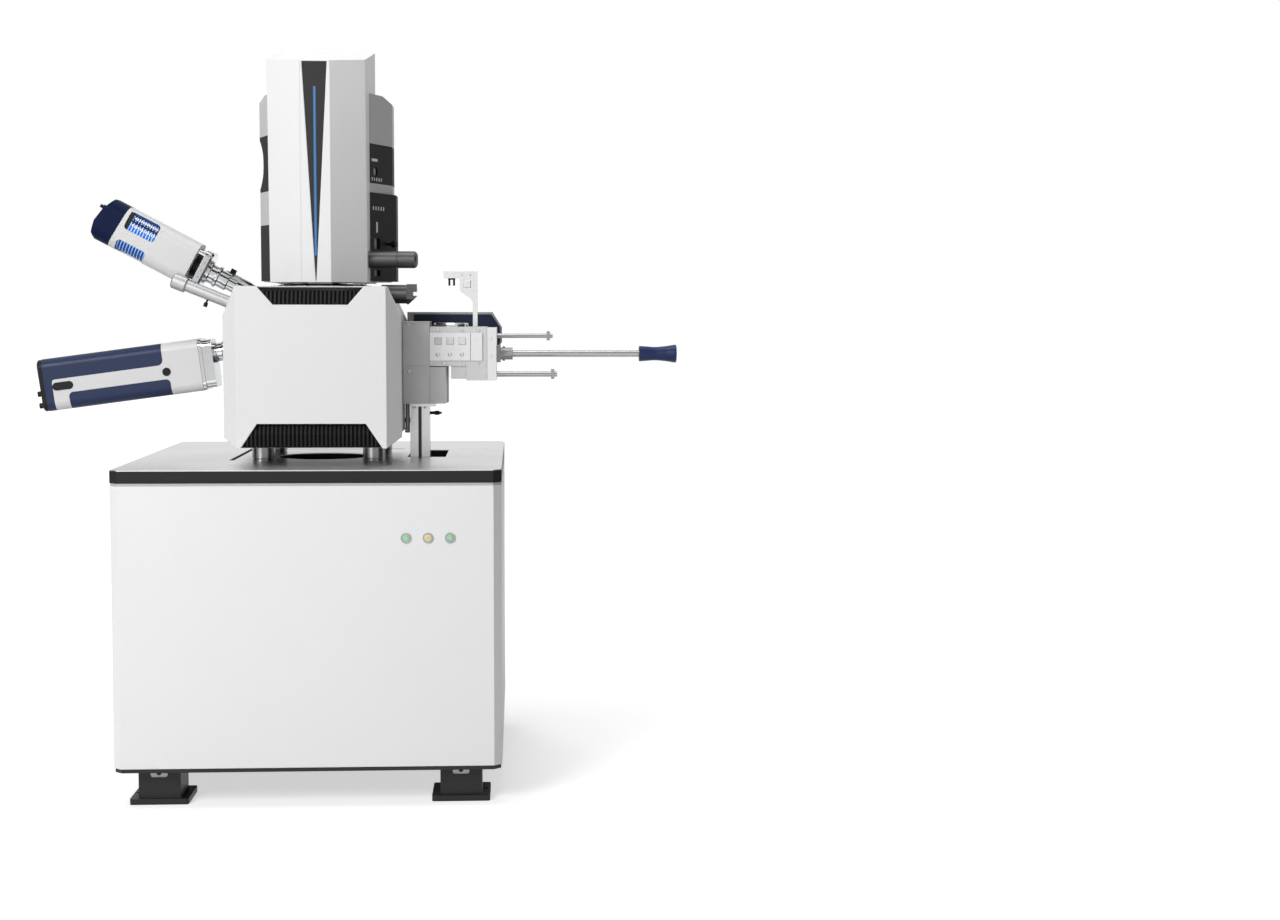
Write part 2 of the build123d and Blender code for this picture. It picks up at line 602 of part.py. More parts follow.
# Cover feet: four spacers that carry the column cover on the chamber roof
spacers = []
for x in (-96, 96):
    for y in (AXIS_Y + 112, AXIS_Y + 142):
        spacers.append(rod((x, y, CH_TOP), (x, y, COL_BOTTOM), 7))
for x in (-104, 104):
    spacers.append(rod((x, AXIS_Y - 30, CH_TOP + 12), (x, AXIS_Y - 30, COL_BOTTOM), 5))
save("column_collar", collar, *spacers)

# Dark wedge let into the front facet, and the light strip down its middle
STRIP_Z0, STRIP_Z1, STRIP_HALF = 1316.0, 1732.0, 3.4
tri_small = [
    (-TRI_TOP_HALF + 0.2, TRI_TOP - 0.2), (TRI_TOP_HALF - 0.2, TRI_TOP - 0.2),
    (0.7, TRI_APEX + 0.5), (-0.7, TRI_APEX + 0.5),
]
wedge = through_y(tri_small, COL_FRONT, COL_FRONT + 2)
wedge -= block(-STRIP_HALF - 0.1, STRIP_HALF + 0.1, COL_FRONT - 1, COL_FRONT + 1.2, STRIP_Z0, STRIP_Z1)
strip = block(-STRIP_HALF, STRIP_HALF, COL_FRONT - 0.6, COL_FRONT + 1.2, STRIP_Z0 + 0.2, STRIP_Z1 - 0.2)
save("light_strip", strip)

# Column back panel with louvres
rear_panel = block(-COL_HALF + 2, COL_HALF - 2, COL_BACK, COL_BACK + 4, COL_BOTTOM + 2, COL_BACK_TOP - 6)
for row in range(12):
    z = 1560 + row * 18
    rear_panel -= block(-80, 80, COL_BACK + 1.5, COL_BACK + 5, z, z + 6)
flat, facet_y, deep = COL_HALF - COL_T, COL_FRONT + FLARE_LOW + COL_T, 900.0
sheets = [
    (-deep, -flat, facet_y, deep, 0, 2000), (flat, deep, facet_y, deep, 0, 2000),
    (-flat, flat, facet_y, deep, 1600, 2000), (-flat, flat, facet_y, deep, 0, 1600),
    (-deep, -COL_FACET_HALF, -deep, facet_y, 0, 2000), (COL_FACET_HALF, deep, -deep, facet_y, 0, 2000),
    (-COL_FACET_HALF, COL_FACET_HALF, -deep, facet_y, 0, 2000),
]
cover_sheets = [part for sheet in sheets for part in (column_cover & block(*sheet)).solids()]
save("column_cover", *cover_sheets, rear_panel)

# Side covers of the column: white housings with dark service panels let in
def side_plan(side, inset, bulge=0.0):
    """Plan of a side housing: a slanted front facet, a flat flank and a slanted back."""
    w = 172 + bulge - inset
    points = [
        (COL_HALF, -64 + inset * 1.2 - bulge * 0.4), (w, 68 + inset * 0.2),
        (w, 150 - inset * 0.3), (COL_HALF, 164 - inset * 0.6),
    ]
    return [(side * x, y) for x, y in points]


SKIN = 8.0


def side_skin(side, z0, z1, bulge=0.0):
    """The outer skin of a side housing between two heights."""
    return upright(side_plan(side, 0, bulge), z0, z1) - upright(side_plan(side, SKIN), z0 - 1, z1 + 1)


def side_housing(side, dark):
    """A housing with its top outer corner cut, less the bands where dark panels sit."""
    solid = upright(side_plan(side, 0), COL_BOTTOM + 4, SIDE_TOP)
    corner = [(side * 150, SIDE_TOP + 1), (side * 180, SIDE_TOP + 1), (side * 180, SIDE_TOP - 22)]
    solid -= through_y(corner, -200, 200)
    for z0, z1 in dark:
        solid -= side_skin(side, z0, z1)
    return solid


left_dark = [(1486, 1629), (COL_BOTTOM + 4, 1400)]
right_dark = [(1506, 1607), (COL_BOTTOM + 4, 1482)]
save("side_covers", side_housing(-1, left_dark), side_housing(1, right_dark))
recess = side_skin(-1, 1486.3, 1628.7)
recess -= rod((-310, -100, 1557.5), (-310, 200, 1557.5), 152)
dark_panels = [wedge, recess.solids().sort_by(SortBy.VOLUME)[-1]]
left_lower = side_skin(-1, COL_BOTTOM + 6, 1399.7)
for row in range(6):
    left_lower -= block(-185, -150, 90, 130, 1290 + row * 12, 1295 + row * 12)
dark_panels.append(left_lower)
right_upper = side_skin(1, 1506.3, 1606.7)
right_upper -= block(118, 200, -52, -16, 1562, 1570)
right_upper -= rod((100, -30, 1536), (200, -30, 1536), 12)
for k in range(5):
    right_upper -= block(118, 200, -52 + 13 * k, -45 + 13 * k, 1512, 1522)
dark_panels.append(right_upper)
right_lower = side_skin(1, COL_BOTTOM + 6, 1481.7, 9)
for k in range(5):
    right_lower -= block(118, 200, -52 + 13 * k, -45 + 13 * k, 1437, 1448)
right_lower -= block(118, 200, -36, -26, 1380, 1408)
right_lower -= block(118, 200, -46, -16, 1338, 1366)
right_lower -= block(118, 200, -46, -16, 1268, 1284)
dark_panels.append(right_lower)
knob_plane = Plane(origin=(160, 20, 1352), z_dir=(0.92, -0.38, 0))
knob = turned([(0, 0), (4, 0), (4, 14), (9, 15), (9, 24), (7, 26), (0, 26)], knob_plane)
knob -= upright(side_plan(1, 0, 9), 1300, 1400)
save("service_panels", *dark_panels, knob)

# Aperture drive: the round barrel sticking out at the right of the column, dark ring near its middle
barrel = turned(
    [
        (0, 0), (CYL_R, 0), (CYL_R, 71), (CYL_R - 1.5, 71.5), (CYL_R - 1.5, 74),
        (CYL_R, 74.5), (CYL_R, 116), (CYL_R - 3, 121), (CYL_R - 9, 124), (0, 124),
    ],
    Plane(origin=(COL_HALF, CYL_Y, CYL_Z), z_dir=(1, 0, 0)),
)
barrel += rod((62, CYL_Y, CYL_Z), (COL_HALF + 1, CYL_Y, CYL_Z), 15)
barrel -= rod((0, AXIS_Y, 1200), (0, AXIS_Y, 1400), 62 + GAP)

# Electron detector on the chamber's right shoulder: a round barrel with a notched six-sided cap
ET_Y, ET_Z = AXIS_Y + 10, 1222.0
et = rod((150, ET_Y, ET_Z), (214, ET_Y, ET_Z), 24)
cap = Plane(origin=(214, ET_Y, ET_Z), z_dir=(1, 0, 0)) * extrude(RegularPolygon(26, 6), 26)
cap -= block(230, 245, ET_Y - 30, ET_Y + 30, ET_Z - 4, ET_Z + 6)
cap -= Plane(origin=(240, ET_Y, ET_Z - 26), z_dir=(1, 0, -1)) * Box(60, 60, 30)
et = (et + cap) - body
save("column_barrels", barrel, et.solids().sort_by(SortBy.VOLUME)[-1])


# Upper left detector: cooled housing with windows, navy cap, fins, stand-offs, flange and neck
def rounded_bar(w, h, r, z0, z1):
    """A bar of rounded rectangular section along z."""
    return Pos(0, 0, z0) * extrude(RectangleRounded(w, h, r), z1 - z0)


shell_side = [(-60, -1), (60, -1), (60, 200), (-60, 208)]
up_shell = rounded_bar(110, 114, 30, 0, 208) & through_x(shell_side, -60, 60)
up_shell -= rounded_bar(102, 106, 27, 4, 209)
window_a = fillet(block(10, 80, 3, 50, 108, 191).edges().filter_by(Axis.X), 9)
window_b = fillet(block(10, 80, -62, -27, 112, 190).edges().filter_by(Axis.X), 9)
up_shell -= window_a + window_b
save("upper_detector_shell", on(up, up_shell))
cap_side = [
    (-60, 208), (60, 200), (60, 243), (57, 243), (18, 258), (-14, 264), (-45, 258), (-57, 246), (-60, 246),
]
up_cap = rounded_bar(110, 114, 30, 195, 264) & through_x(cap_side, -60, 60)
save("upper_detector_cap", on(up, up_cap))
fins = rounded_bar(64, 66, 12, 4, 199)
for k in range(11):
    fins += rounded_bar(98, 102, 25, 106 + 8 * k, 108.5 + 8 * k)
save("upper_detector_fins", on(up, fins))
plugs = local_rod(up, 10, 24, 245, 266, 7) + local_rod(up, 10, 24, 265, 274, 4.5) - on(up, up_cap)
plugs = plugs.solids().sort_by(SortBy.VOLUME)[-1]
plug_b = (local_rod(up, -14, 16, 245, 267, 6) - on(up, up_cap)).solids().sort_by(SortBy.VOLUME)[-1]
standoffs = [local_rod(up, x, y, -20, 0, 7) for x, y in both_ways(36, 38)]
coupler = local_rod(up, 0, 0, -20, 0, 30)
fittings = [plugs, plug_b, coupler]
flange = chamfer(rounded_bar(104, 104, 18, -40, -20).faces().sort_by(Axis.Z)[0].edges(), 5)
for k in range(5):
    flange -= Pos(0, -40 + 20 * k, -30) * Rot(0, 90, 0) * Cylinder(3.2, 120)
neck = turned(
    [
        (0, -40), (32, -40), (32, -46), (26, -48), (26, -62), (30, -64), (30, -70), (24, -72),
        (24, -96), (19, -98), (19, -140), (16, -142), (16, -200), (0, -200),
    ]
)
neck += Pos(0, 0, -226) * Cylinder(9, 28, align=(Align.CENTER, Align.CENTER, Align.MIN))
port_parts = [on(up, flange), on(up, neck), *standoffs]
seat = local_rod(up, 0, 0, -190, -120, 27) - local_rod(up, 0, 0, -200, -90, 19 + GAP)
seat -= through_y(body_outline, CH_FRONT, CH_BACK)
seat -= through_y(cavity_outline, CH_FRONT - 1, CH_BACK - WALL)
port_parts.append(seat.solids().sort_by(SortBy.VOLUME)[-1])

# Lower left detector: an X-ray spectrometer on a slide, white housing with navy panels
EDS_L, EDS_H, EDS_W, EDS_R = 394.0, 133.0, 116.0, 22.0
BAND_LOW, BAND_TOP = -25.0, 12.0
bar = rounded_bar(EDS_W, EDS_H, EDS_R, 0, EDS_L)
inner = rounded_bar(EDS_W - 5, EDS_H - 5, EDS_R - 2, -1, EDS_L + 1)
wall = bar - inner
upper_zone = block(-90, 90, BAND_TOP, 90, 92, EDS_L + 10)
upper_zone = fillet(upper_zone.edges().filter_by(Axis.X).group_by(Axis.Z)[0], 14)
upper_zone += block(-90, 90, -90, 90, EDS_L - 20, EDS_L + 10)
inner_corner = upper_zone.edges().filter_by(Axis.X).filter_by_position(Axis.Y, BAND_TOP - 1, BAND_TOP + 1)
upper_zone = fillet(inner_corner.filter_by_position(Axis.Z, EDS_L - 21, EDS_L - 19), 8)
lower_zone = block(-90, 90, -90, BAND_LOW, 80, EDS_L - 58)
lower_zone = fillet(lower_zone.edges().filter_by(Axis.X).group_by(Axis.Y)[-1], 11)
eds_upper = wall & upper_zone
eds_lower = wall & lower_zone
eds_body = bar - eds_upper - eds_lower
band_y = (BAND_LOW + BAND_TOP) / 2
slot = Pos(EDS_W / 2 - 1, band_y, EDS_L - 46) * Rot(0, 90, 0) * extrude(SlotOverall(52, 20), 2)
dot = Pos(EDS_W / 2 - 1, band_y, 86) * Rot(0, 90, 0) * extrude(Circle(10.5), 2)
eds_body -= slot
eds_body -= dot
save("eds_housing", on(eds, eds_body))
save("eds_panels", on(eds, eds_upper), on(eds, eds_lower))
end_cap = rounded_bar(EDS_W - 2, EDS_H - 2, EDS_R - 1, EDS_L, EDS_L + 12)
end_cap = chamfer(end_cap.faces().sort_by(Axis.Z)[-1].edges(), 3)
for y in (-20, -50):
    end_cap += Pos(20, y, EDS_L + 11) * Cylinder(7, 16, align=(Align.CENTER, Align.CENTER, Align.MIN))
save("eds_end_cap", on(eds, end_cap), on(eds, slot), on(eds, dot))
front_plate = rounded_bar(EDS_W - 4, EDS_H - 2, EDS_R - 2, -8, 0)
front_plate += rounded_bar(EDS_W - 12, EDS_H - 10, EDS_R - 4, -33, -8)
snout = turned([
    (0, -33), (27, -33), (27, -38), (24, -40), (24, -54), (27, -56), (27, -62),
    (SNOUT_R, -62), (SNOUT_R, -194), (0, -194),
])
save("eds_snout", on(eds, front_plate), on(eds, Pos(0, EDS_LIFT, 0) * snout))
eds_seat = turned([
    (SNOUT_R + RUN, -62.3), (25, -62.3), (25, -76), (36, -78), (36, -112), (SNOUT_R + RUN, -112),
])
eds_seat = on(eds, Pos(0, EDS_LIFT, 0) * eds_seat) - block(-CH_HALF, 0, -300, 200, 800, 1300)
port_parts.append(eds_seat.solids().sort_by(SortBy.VOLUME)[-1])
save("detector_ports", *port_parts)

# Slim tubes: a chamber camera in front with a clamp ring and thumbscrew, and a lamp tube behind
slim_tube = turned([(0, -40), (11.5, -40), (11.5, 0), (15.2, 0), (15.2, 124), (0, 124)])
slim_tube = on(slim, slim_tube) - body
tubes = [slim_tube.solids().sort_by(SortBy.VOLUME)[-1]]
slim_cap = turned([(0, 124), (19, 124), (20, 126), (20, 158), (17, 161), (0, 161)])
slim_cap -= Pos(0, -20, 142) * Box(3, 12, 40)
tubes.append(on(slim, slim_cap))
screw = Pos(0, -15.2, 62) * Rot(90, 0, 0) * Cylinder(2.5, 10, align=(Align.CENTER, Align.CENTER, Align.MIN))
screw += Pos(0, -22, 62) * Rot(90, 0, 0) * Cylinder(5, 11, align=(Align.CENTER, Align.CENTER, Align.MIN))
fittings.append(on(slim, screw))
rear_tube = turned([(0, -40), (11.5, -40), (11.5, 0), (18, 0), (18, 70), (14, 74), (0, 74)])
rear_tube = on(rear, rear_tube) - body
tubes.append(rear_tube.solids().sort_by(SortBy.VOLUME)[-1])
clip = turned([(18, 48), (21, 48), (21, 62), (18, 62)]) + block(-5, 5, 20, 28, 48, 62)
fittings.append(on(rear, clip))

# Load lock: gate housing against the chamber, with the gate that slides up to close the bore
gate_housing = block(CH_HALF, GATE_X1, LOCK_FRONT, LOCK_BACK, 943, 1152)
GATE_T, GATE_W = 10.0, 64.0
half_gate = GATE_W / 2 + RUN
pocket = block(236, 236 + GATE_T + 2 * RUN, AXIS_Y - half_gate, AXIS_Y + half_gate, 955, LOCK_Z + 34)
gate_housing -= pocket
gate_housing -= rod((CH_HALF - 1, AXIS_Y, LOCK_Z), (GATE_X1 + 1, AXIS_Y, LOCK_Z), BORE_R)
gate_housing -= block(CH_HALF + 10, GATE_X1 + 1, LOCK_FRONT - 1, LOCK_FRONT + 3, 1018, 1041)
gate_housing -= block(CH_HALF + 4, GATE_X1 - 2, LOCK_FRONT - 1, LOCK_FRONT + 3, 1143, 1149)
gate_top = LOCK_Z - BORE_R - 3
gate = block(236 + RUN, 236 + GATE_T + RUN, AXIS_Y - GATE_W / 2, AXIS_Y + GATE_W / 2, gate_top - 58, gate_top)
save("gate_plate", gate)
GATE_TRAVEL = 55.0

# Lock body with its round bore, and the split front plate over it
lock = block(GATE_X1, LOCK_X1, LOCK_FRONT + 6, LOCK_BACK, 1039, 1139)
lock -= rod((GATE_X1 - 1, AXIS_Y, LOCK_Z), (LOCK_X1 + 1, AXIS_Y, LOCK_Z), BORE_R + 5)
WIN_X, WIN_R = 328.0, 45.5
lock -= rod((WIN_X, AXIS_Y, LOCK_Z), (WIN_X, AXIS_Y, 1140), 24)
UPPER_ROD = (-22.0, 1115.0)
LOWER_ROD = (-106.0, 1018.0)
lock -= rod((LOCK_X1 - 60, UPPER_ROD[0], UPPER_ROD[1]), (LOCK_X1 + 1, UPPER_ROD[0], UPPER_ROD[1]), 6)
BUTTONS = [(296.5, 1103.0), (327.3, 1103.0), (357.6, 1103.0)]
LAMPS = [(296.0, 1068.3), (327.0, 1068.3), (357.5, 1068.3)]
plate_a = block(GATE_X1 + GAP, 378.6, LOCK_FRONT, LOCK_FRONT + 6, 1053, 1124)
plate_b = block(379.6, LOCK_X1 - 12, LOCK_FRONT, LOCK_FRONT + 6, 1053, 1124)
for x, z in BUTTONS:
    hole = block(x - 9.2, x + 9.2, LOCK_FRONT - 1, LOCK_FRONT + 18, z - 9.2, z + 9.2)
    plate_a -= hole
    lock -= hole
for x, z in LAMPS:
    hole = rod((x, LOCK_FRONT - 1, z), (x, LOCK_FRONT + 10, z), 5)
    plate_a -= hole
    lock -= hole
for name, (x, z) in zip(("lock_button_1", "lock_button_2", "lock_button_3"), BUTTONS):
    key = block(x - 9, x + 9, LOCK_FRONT - 3.5, LOCK_FRONT + 14.5, z - 9, z + 9)
    save(name, fillet(key.faces().sort_by(Axis.Y)[0].edges(), 1.2))
lamp_profile = [(0, -1.4), (3, -1.4), (5, 0), (5, 10), (0, 10)]
lamps = [turned(lamp_profile, Plane(origin=(x, LOCK_FRONT, z), z_dir=(0, 1, 0))) for x, z in LAMPS]

# Cap screws on the load lock's front face
screw_places = [
    (297, 1130, 6), (357, 1130, 6), (399, 1130, 6), (312, 1046, 6), (362, 1046, 6), (399, 1046, 6),
]
lock_screws = [rod((x, LOCK_FRONT + y - 3, z), (x, LOCK_FRONT + y, z), 3.6) for x, z, y in screw_places]
lock_screws.append(rod((220, LOCK_FRONT + 0.5, 1146), (220, LOCK_FRONT + 3, 1146), 3))
lock_screws.append(rod((223, LOCK_FRONT - 0.5, 1026), (223, LOCK_FRONT + 3, 1026), 3.6))
cap_screws += lock_screws

# Guide block, guide rods with nuts, and the lock door that slides on them
guide_block = block(368, LOCK_X1, LOCK_FRONT + 6, LOCK_BACK - 20, 1002, 1039)
guide_block += block(329, 368, LOCK_FRONT + 14, LOCK_FRONT + 60, 1006, 1039)
guide_block -= rod((369, LOWER_ROD[0], LOWER_ROD[1]), (LOCK_X1 + 1, LOWER_ROD[0], LOWER_ROD[1]), 7)
lock_door = block(LOCK_X1 + GAP, DOOR_X1, LOCK_FRONT, LOCK_BACK, 1002, 1137)
for y, z, r in ((UPPER_ROD[0], UPPER_ROD[1], 6), (LOWER_ROD[0], LOWER_ROD[1], 7)):
    lock_door -= rod((LOCK_X1 - 1, y, z), (DOOR_X1 + 1, y, z), r + RUN)
lock_door -= rod((LOCK_X1 - 1, AXIS_Y, LOCK_Z), (DOOR_X1 + 1, AXIS_Y, LOCK_Z), ROD_R + RUN)
door_screws = [rod((430, LOCK_FRONT - 3, z), (430, LOCK_FRONT, z), 3.6) for z in (1110, 1064)]
save("lock_door", lock_door, *door_screws)
upper_guide = rod((LOCK_X1 - 59, UPPER_ROD[0], UPPER_ROD[1]), (590, UPPER_ROD[0], UPPER_ROD[1]), 6)
lower_guide = rod((370, LOWER_ROD[0], LOWER_ROD[1]), (600, LOWER_ROD[0], LOWER_ROD[1]), 7)
nuts = []
for (y, z), x, r in ((UPPER_ROD, 574, 6), (LOWER_ROD, 584, 7)):
    nut = Plane(origin=(x, y, z), z_dir=(1, 0, 0)) * extrude(RegularPolygon(r + 6, 6), 9)
    nuts.append(nut - rod((x - 1, y, z), (x + 12, y, z), r))
save("guide_rods", upper_guide, lower_guide, *nuts)
LOCK_DOOR_TRAVEL = 574 - DOOR_X1 - 2

# Transfer rod: a socket with a seal, the sliding rod with a fork, and its flared navy handle
socket = rod((DOOR_X1, AXIS_Y, LOCK_Z), (486, AXIS_Y, LOCK_Z), 15.5)
socket += Plane(origin=(DOOR_X1, AXIS_Y, LOCK_Z), z_dir=(1, 0, 0)) * extrude(RectangleRounded(44, 36, 5), 10)
socket -= rod((DOOR_X1 - 1, AXIS_Y, LOCK_Z), (487, AXIS_Y, LOCK_Z), ROD_R + RUN)
socket_screws = []
for dy, dz in ((-1, 0), (0, 1), (0, -1)):
    near = (463, AXIS_Y + 14 * dy, LOCK_Z + 14 * dz)
    far = (463, AXIS_Y + 18.5 * dy, LOCK_Z + 18.5 * dz)
    socket_screws.append(rod(near, far, 3.2) - rod((440, AXIS_Y, LOCK_Z), (490, AXIS_Y, LOCK_Z), 15.5))
save("rod_socket", socket, *socket_screws)
transfer = rod((360, AXIS_Y, LOCK_Z), (830, AXIS_Y, LOCK_Z), ROD_R)
fork = block(340, 362, AXIS_Y - 7, AXIS_Y + 7, LOCK_Z - 4, LOCK_Z + 4)
fork -= block(339, 352, AXIS_Y - 3, AXIS_Y + 3, LOCK_Z - 6, LOCK_Z + 6)
save("transfer_rod", transfer + fork)
handle = turned(
    [
        (ROD_R, 0), (18.5, 0), (20, 1.5), (19.4, 12), (17.6, 34), (17.4, 46), (19.6, 70),
        (23, 90), (23.4, 95), (21, 97), (0, 97), (0, 17.5), (ROD_R, 17.5),
    ],
    Plane(origin=(812.7, AXIS_Y, LOCK_Z), z_dir=(1, 0, 0)),
)
save("rod_handle", handle)
ROD_TRAVEL = 240.0

# Window on top of the lock: a chromed ring with a glass disc
win = Plane(origin=(WIN_X, AXIS_Y, 1139))
save("window_ring", turned([(35, 0), (WIN_R, 0), (WIN_R, 6), (42, 9.5), (37, 9.5), (35, 8)], win))
save("window_glass", turned([(0, 1), (35 - 0.05, 1), (35 - 0.05, 6), (0, 6)], win))

# Camera arm over the window: a cut plate, a square key plate and a small two-pronged camera head
ARM_Y = AXIS_Y - 6
arm_outline = [
    (384, 1139), (396, 1139), (396, 1281), (310, 1281), (310, 1263),
    (350.5, 1263), (350.5, 1231), (379, 1211), (384, 1200),
]
arm = through_y(arm_outline, ARM_Y - 5, ARM_Y + 5)
arm_button = block(360.5, 378.5, ARM_Y - 8, ARM_Y - 5, 1239.5, 1257.5)
badge = fillet(arm_button.faces().sort_by(Axis.Y)[0].edges(), 1)
save("lock_plates", plate_a, plate_b, arm, badge, *lamps)
cap_screws += [rod((x, ARM_Y - 6.5, 1272), (x, ARM_Y - 5, 1272), 2.6) for x in (356, 377)]
head = block(321, 339, ARM_Y - 4, ARM_Y + 4, 1259, 1263)
for x in (324, 336):
    head += rod((x, ARM_Y, 1244), (x, ARM_Y, 1260), 2.6)
fittings.append(head)

# Gate actuator hanging beside the housing, the post that carries the lock, and its hardware
actuator = block(GATE_X1, 316, LOCK_FRONT + 6, -64, 943, 1037)
actuator += block(GATE_X1, 320, -64, LOCK_BACK - 6, 943, 1037)
save("load_lock_body", gate_housing, lock, guide_block, actuator)
CLAMP_Z = 935.0
bracket = block(POST_X0 - 1, POST_X1 + 16, POST_Y0 - 12, POST_Y1 + 12, CLAMP_Z, 943)
post = block(POST_X0, POST_X1, POST_Y0, POST_Y1, TABLE_TOP - TABLE_T, CLAMP_Z)
px, py = (POST_X0 + POST_X1) / 2, (POST_Y0 + POST_Y1) / 2
for sx, sy in ((1, 0), (-1, 0), (0, 1), (0, -1)):
    mouth_x = (px + sx * 25 - 4.1, px + sx * 25 + 4.1) if sx == 0 else (px + sx * 25 - 12, px + sx * 25 + 12)
    mouth_y = (py + sy * 25 - 4.1, py + sy * 25 + 4.1) if sy == 0 else (py + sy * 25 - 12, py + sy * 25 + 12)
    post -= block(*mouth_x, *mouth_y, 700, 1000)
    inner_x = (px - 9, px + 9) if sx == 0 else (px + sx * 17 - 4, px + sx * 17 + 4)
    inner_y = (py - 9, py + 9) if sy == 0 else (py + sy * 17 - 4, py + sy * 17 + 4)
    post -= block(*inner_x, *inner_y, 700, 1000)
post_foot = block(205, 323, -115, -34, TABLE_TOP - TABLE_T - 10, TABLE_TOP - TABLE_T)
save("lock_post", post, bracket, post_foot)
for x in (px - 14, px + 14):
    cap_screws += [rod((x, y, CLAMP_Z - 5), (x, y, CLAMP_Z), 4) for y in (POST_Y0 - 6, POST_Y1 + 6)]
valve = rod((POST_X1, py, 917), (POST_X1 + 12, py, 917), 4)
valve += rod((POST_X1 + 12, py, 917), (POST_X1 + 24, py, 917), 5.5)
valve += rod((POST_X1 + 24, py, 917), (POST_X1 + 30, py, 917), 3)
fittings.append(valve)
pipe = rod((215.5, py, 866), (215.5, py, 943), 5.5) + rod((CH_HALF, py, 872), (215.5, py, 872), 5.5)
pipe += rod((215.5, py, 892), (215.5, py, 904), 7.2)
tubes.append(pipe)
save("chamber_tubes", *tubes)
save("small_fittings", *fittings)
save("cap_screws", *cap_screws)

# Backscatter detector behind the load lock: a long navy box in a grey frame, its outer end cut
EB_Z0, EB_Z1, EB_Y0, EB_Y1 = 1057.0, 1176.0, 66.0, 150.0
eb_outline = [
    (226, EB_Z1 - 6), (429, EB_Z1 - 6), (452, EB_Z1 - 40),
    (452, EB_Z0 + 40), (429, EB_Z0 + 6), (226, EB_Z0 + 6),
]
grey_outline = [
    (CH_HALF, EB_Z1), (432, EB_Z1), (457, EB_Z1 - 40), (457, EB_Z0 + 40), (432, EB_Z0), (CH_HALF, EB_Z0),
]
grey = through_y(grey_outline, EB_Y0 + 10, EB_Y1) & block(CH_HALF, 500, 0, 200, 1000, 1200)
save("rear_detector_frame", grey)
save("rear_detector_panel", through_y(eb_outline, EB_Y0, EB_Y0 + 10))
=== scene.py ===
import math

import bmesh
import bpy
from mathutils import Matrix, Vector


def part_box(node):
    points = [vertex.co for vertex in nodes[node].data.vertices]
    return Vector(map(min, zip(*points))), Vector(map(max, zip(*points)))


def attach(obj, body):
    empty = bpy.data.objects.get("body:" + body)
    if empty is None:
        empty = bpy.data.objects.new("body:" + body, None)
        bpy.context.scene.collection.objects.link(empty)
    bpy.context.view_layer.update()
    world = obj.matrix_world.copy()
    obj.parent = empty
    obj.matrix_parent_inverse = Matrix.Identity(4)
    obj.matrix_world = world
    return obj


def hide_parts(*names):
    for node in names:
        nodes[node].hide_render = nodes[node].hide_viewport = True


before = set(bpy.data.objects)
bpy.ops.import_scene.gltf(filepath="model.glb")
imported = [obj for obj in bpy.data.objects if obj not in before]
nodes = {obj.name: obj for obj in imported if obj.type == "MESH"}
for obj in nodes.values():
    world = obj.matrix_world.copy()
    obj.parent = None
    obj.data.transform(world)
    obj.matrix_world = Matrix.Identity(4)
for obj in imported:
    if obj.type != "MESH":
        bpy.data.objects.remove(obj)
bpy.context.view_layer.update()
scene = bpy.context.scene
scene.view_settings.view_transform = "Standard"


# Camera: a long lens, 5.4 m in front of the instrument, half a metre to its right and at chamber height. It
# looks a little down and to the right, so that the instrument fills the left half of the frame.
STAND = (0.5024, -5.3960, 1.1847)
YAW, PITCH, ROLL = (math.radians(angle) for angle in (3.367, 4.197, 0.095))
LENS_MM = 57.835
FILM_MM = 36.0
forward = Vector((math.sin(YAW) * math.cos(PITCH), math.cos(YAW) * math.cos(PITCH), -math.sin(PITCH)))
level = Vector((math.cos(YAW), -math.sin(YAW), 0.0))
above = level.cross(forward)
right = math.cos(ROLL) * level + math.sin(ROLL) * above
top = math.cos(ROLL) * above - math.sin(ROLL) * level
camera = bpy.data.objects.new("camera", bpy.data.cameras.new("camera"))
camera.data.lens = LENS_MM
camera.data.sensor_width = FILM_MM
camera.data.sensor_fit = "HORIZONTAL"
camera.matrix_world = Matrix.Translation(STAND) @ Matrix((right, top, -forward)).transposed().to_4x4()
scene.collection.objects.link(camera)
scene.camera = camera


# Studio: an even white room with a large soft lamp high at the front left, one overhead and one behind. The
# room is dim as a lamp, and plain white to the eye and in polished metal.
ROOM_LIGHT = 0.18
WHITE = (1.0, 1.0, 1.0, 1.0)
LAMP_WIDTH = 3.0
AIM = Vector((0.0, 0.0, 0.9))


def add(tree, kind, inputs=(), **settings):
    """Adds a shader node, sets its own settings, and gives each input a value or a link."""
    node = tree.nodes.new("ShaderNode" + kind)
    for name, value in settings.items():
        setattr(node, name, value)
    for name, value in dict(inputs).items():
        if isinstance(value, bpy.types.NodeSocket):
            tree.links.new(value, node.inputs[name])
        else:
            node.inputs[name].default_value = value
    return node


world = bpy.data.worlds.new("studio")
world.use_nodes = True
scene.world = world
tree = world.node_tree
tree.nodes.clear()
ray = add(tree, "LightPath").outputs
seen = add(tree, "Math", {0: ray["Is Camera Ray"], 1: ray["Is Glossy Ray"]}, operation="MAXIMUM")
seen = add(tree, "Math", {0: seen.outputs[0], 1: ray["Is Transmission Ray"]}, operation="MAXIMUM")
room = add(tree, "Background", {"Color": WHITE, "Strength": ROOM_LIGHT})
backdrop = add(tree, "Background", {"Color": WHITE, "Strength": 1.0})
either = add(tree, "MixShader", {0: seen.outputs[0], 1: room.outputs[0], 2: backdrop.outputs[0]})
add(tree, "OutputWorld", {"Surface": either.outputs[0]})

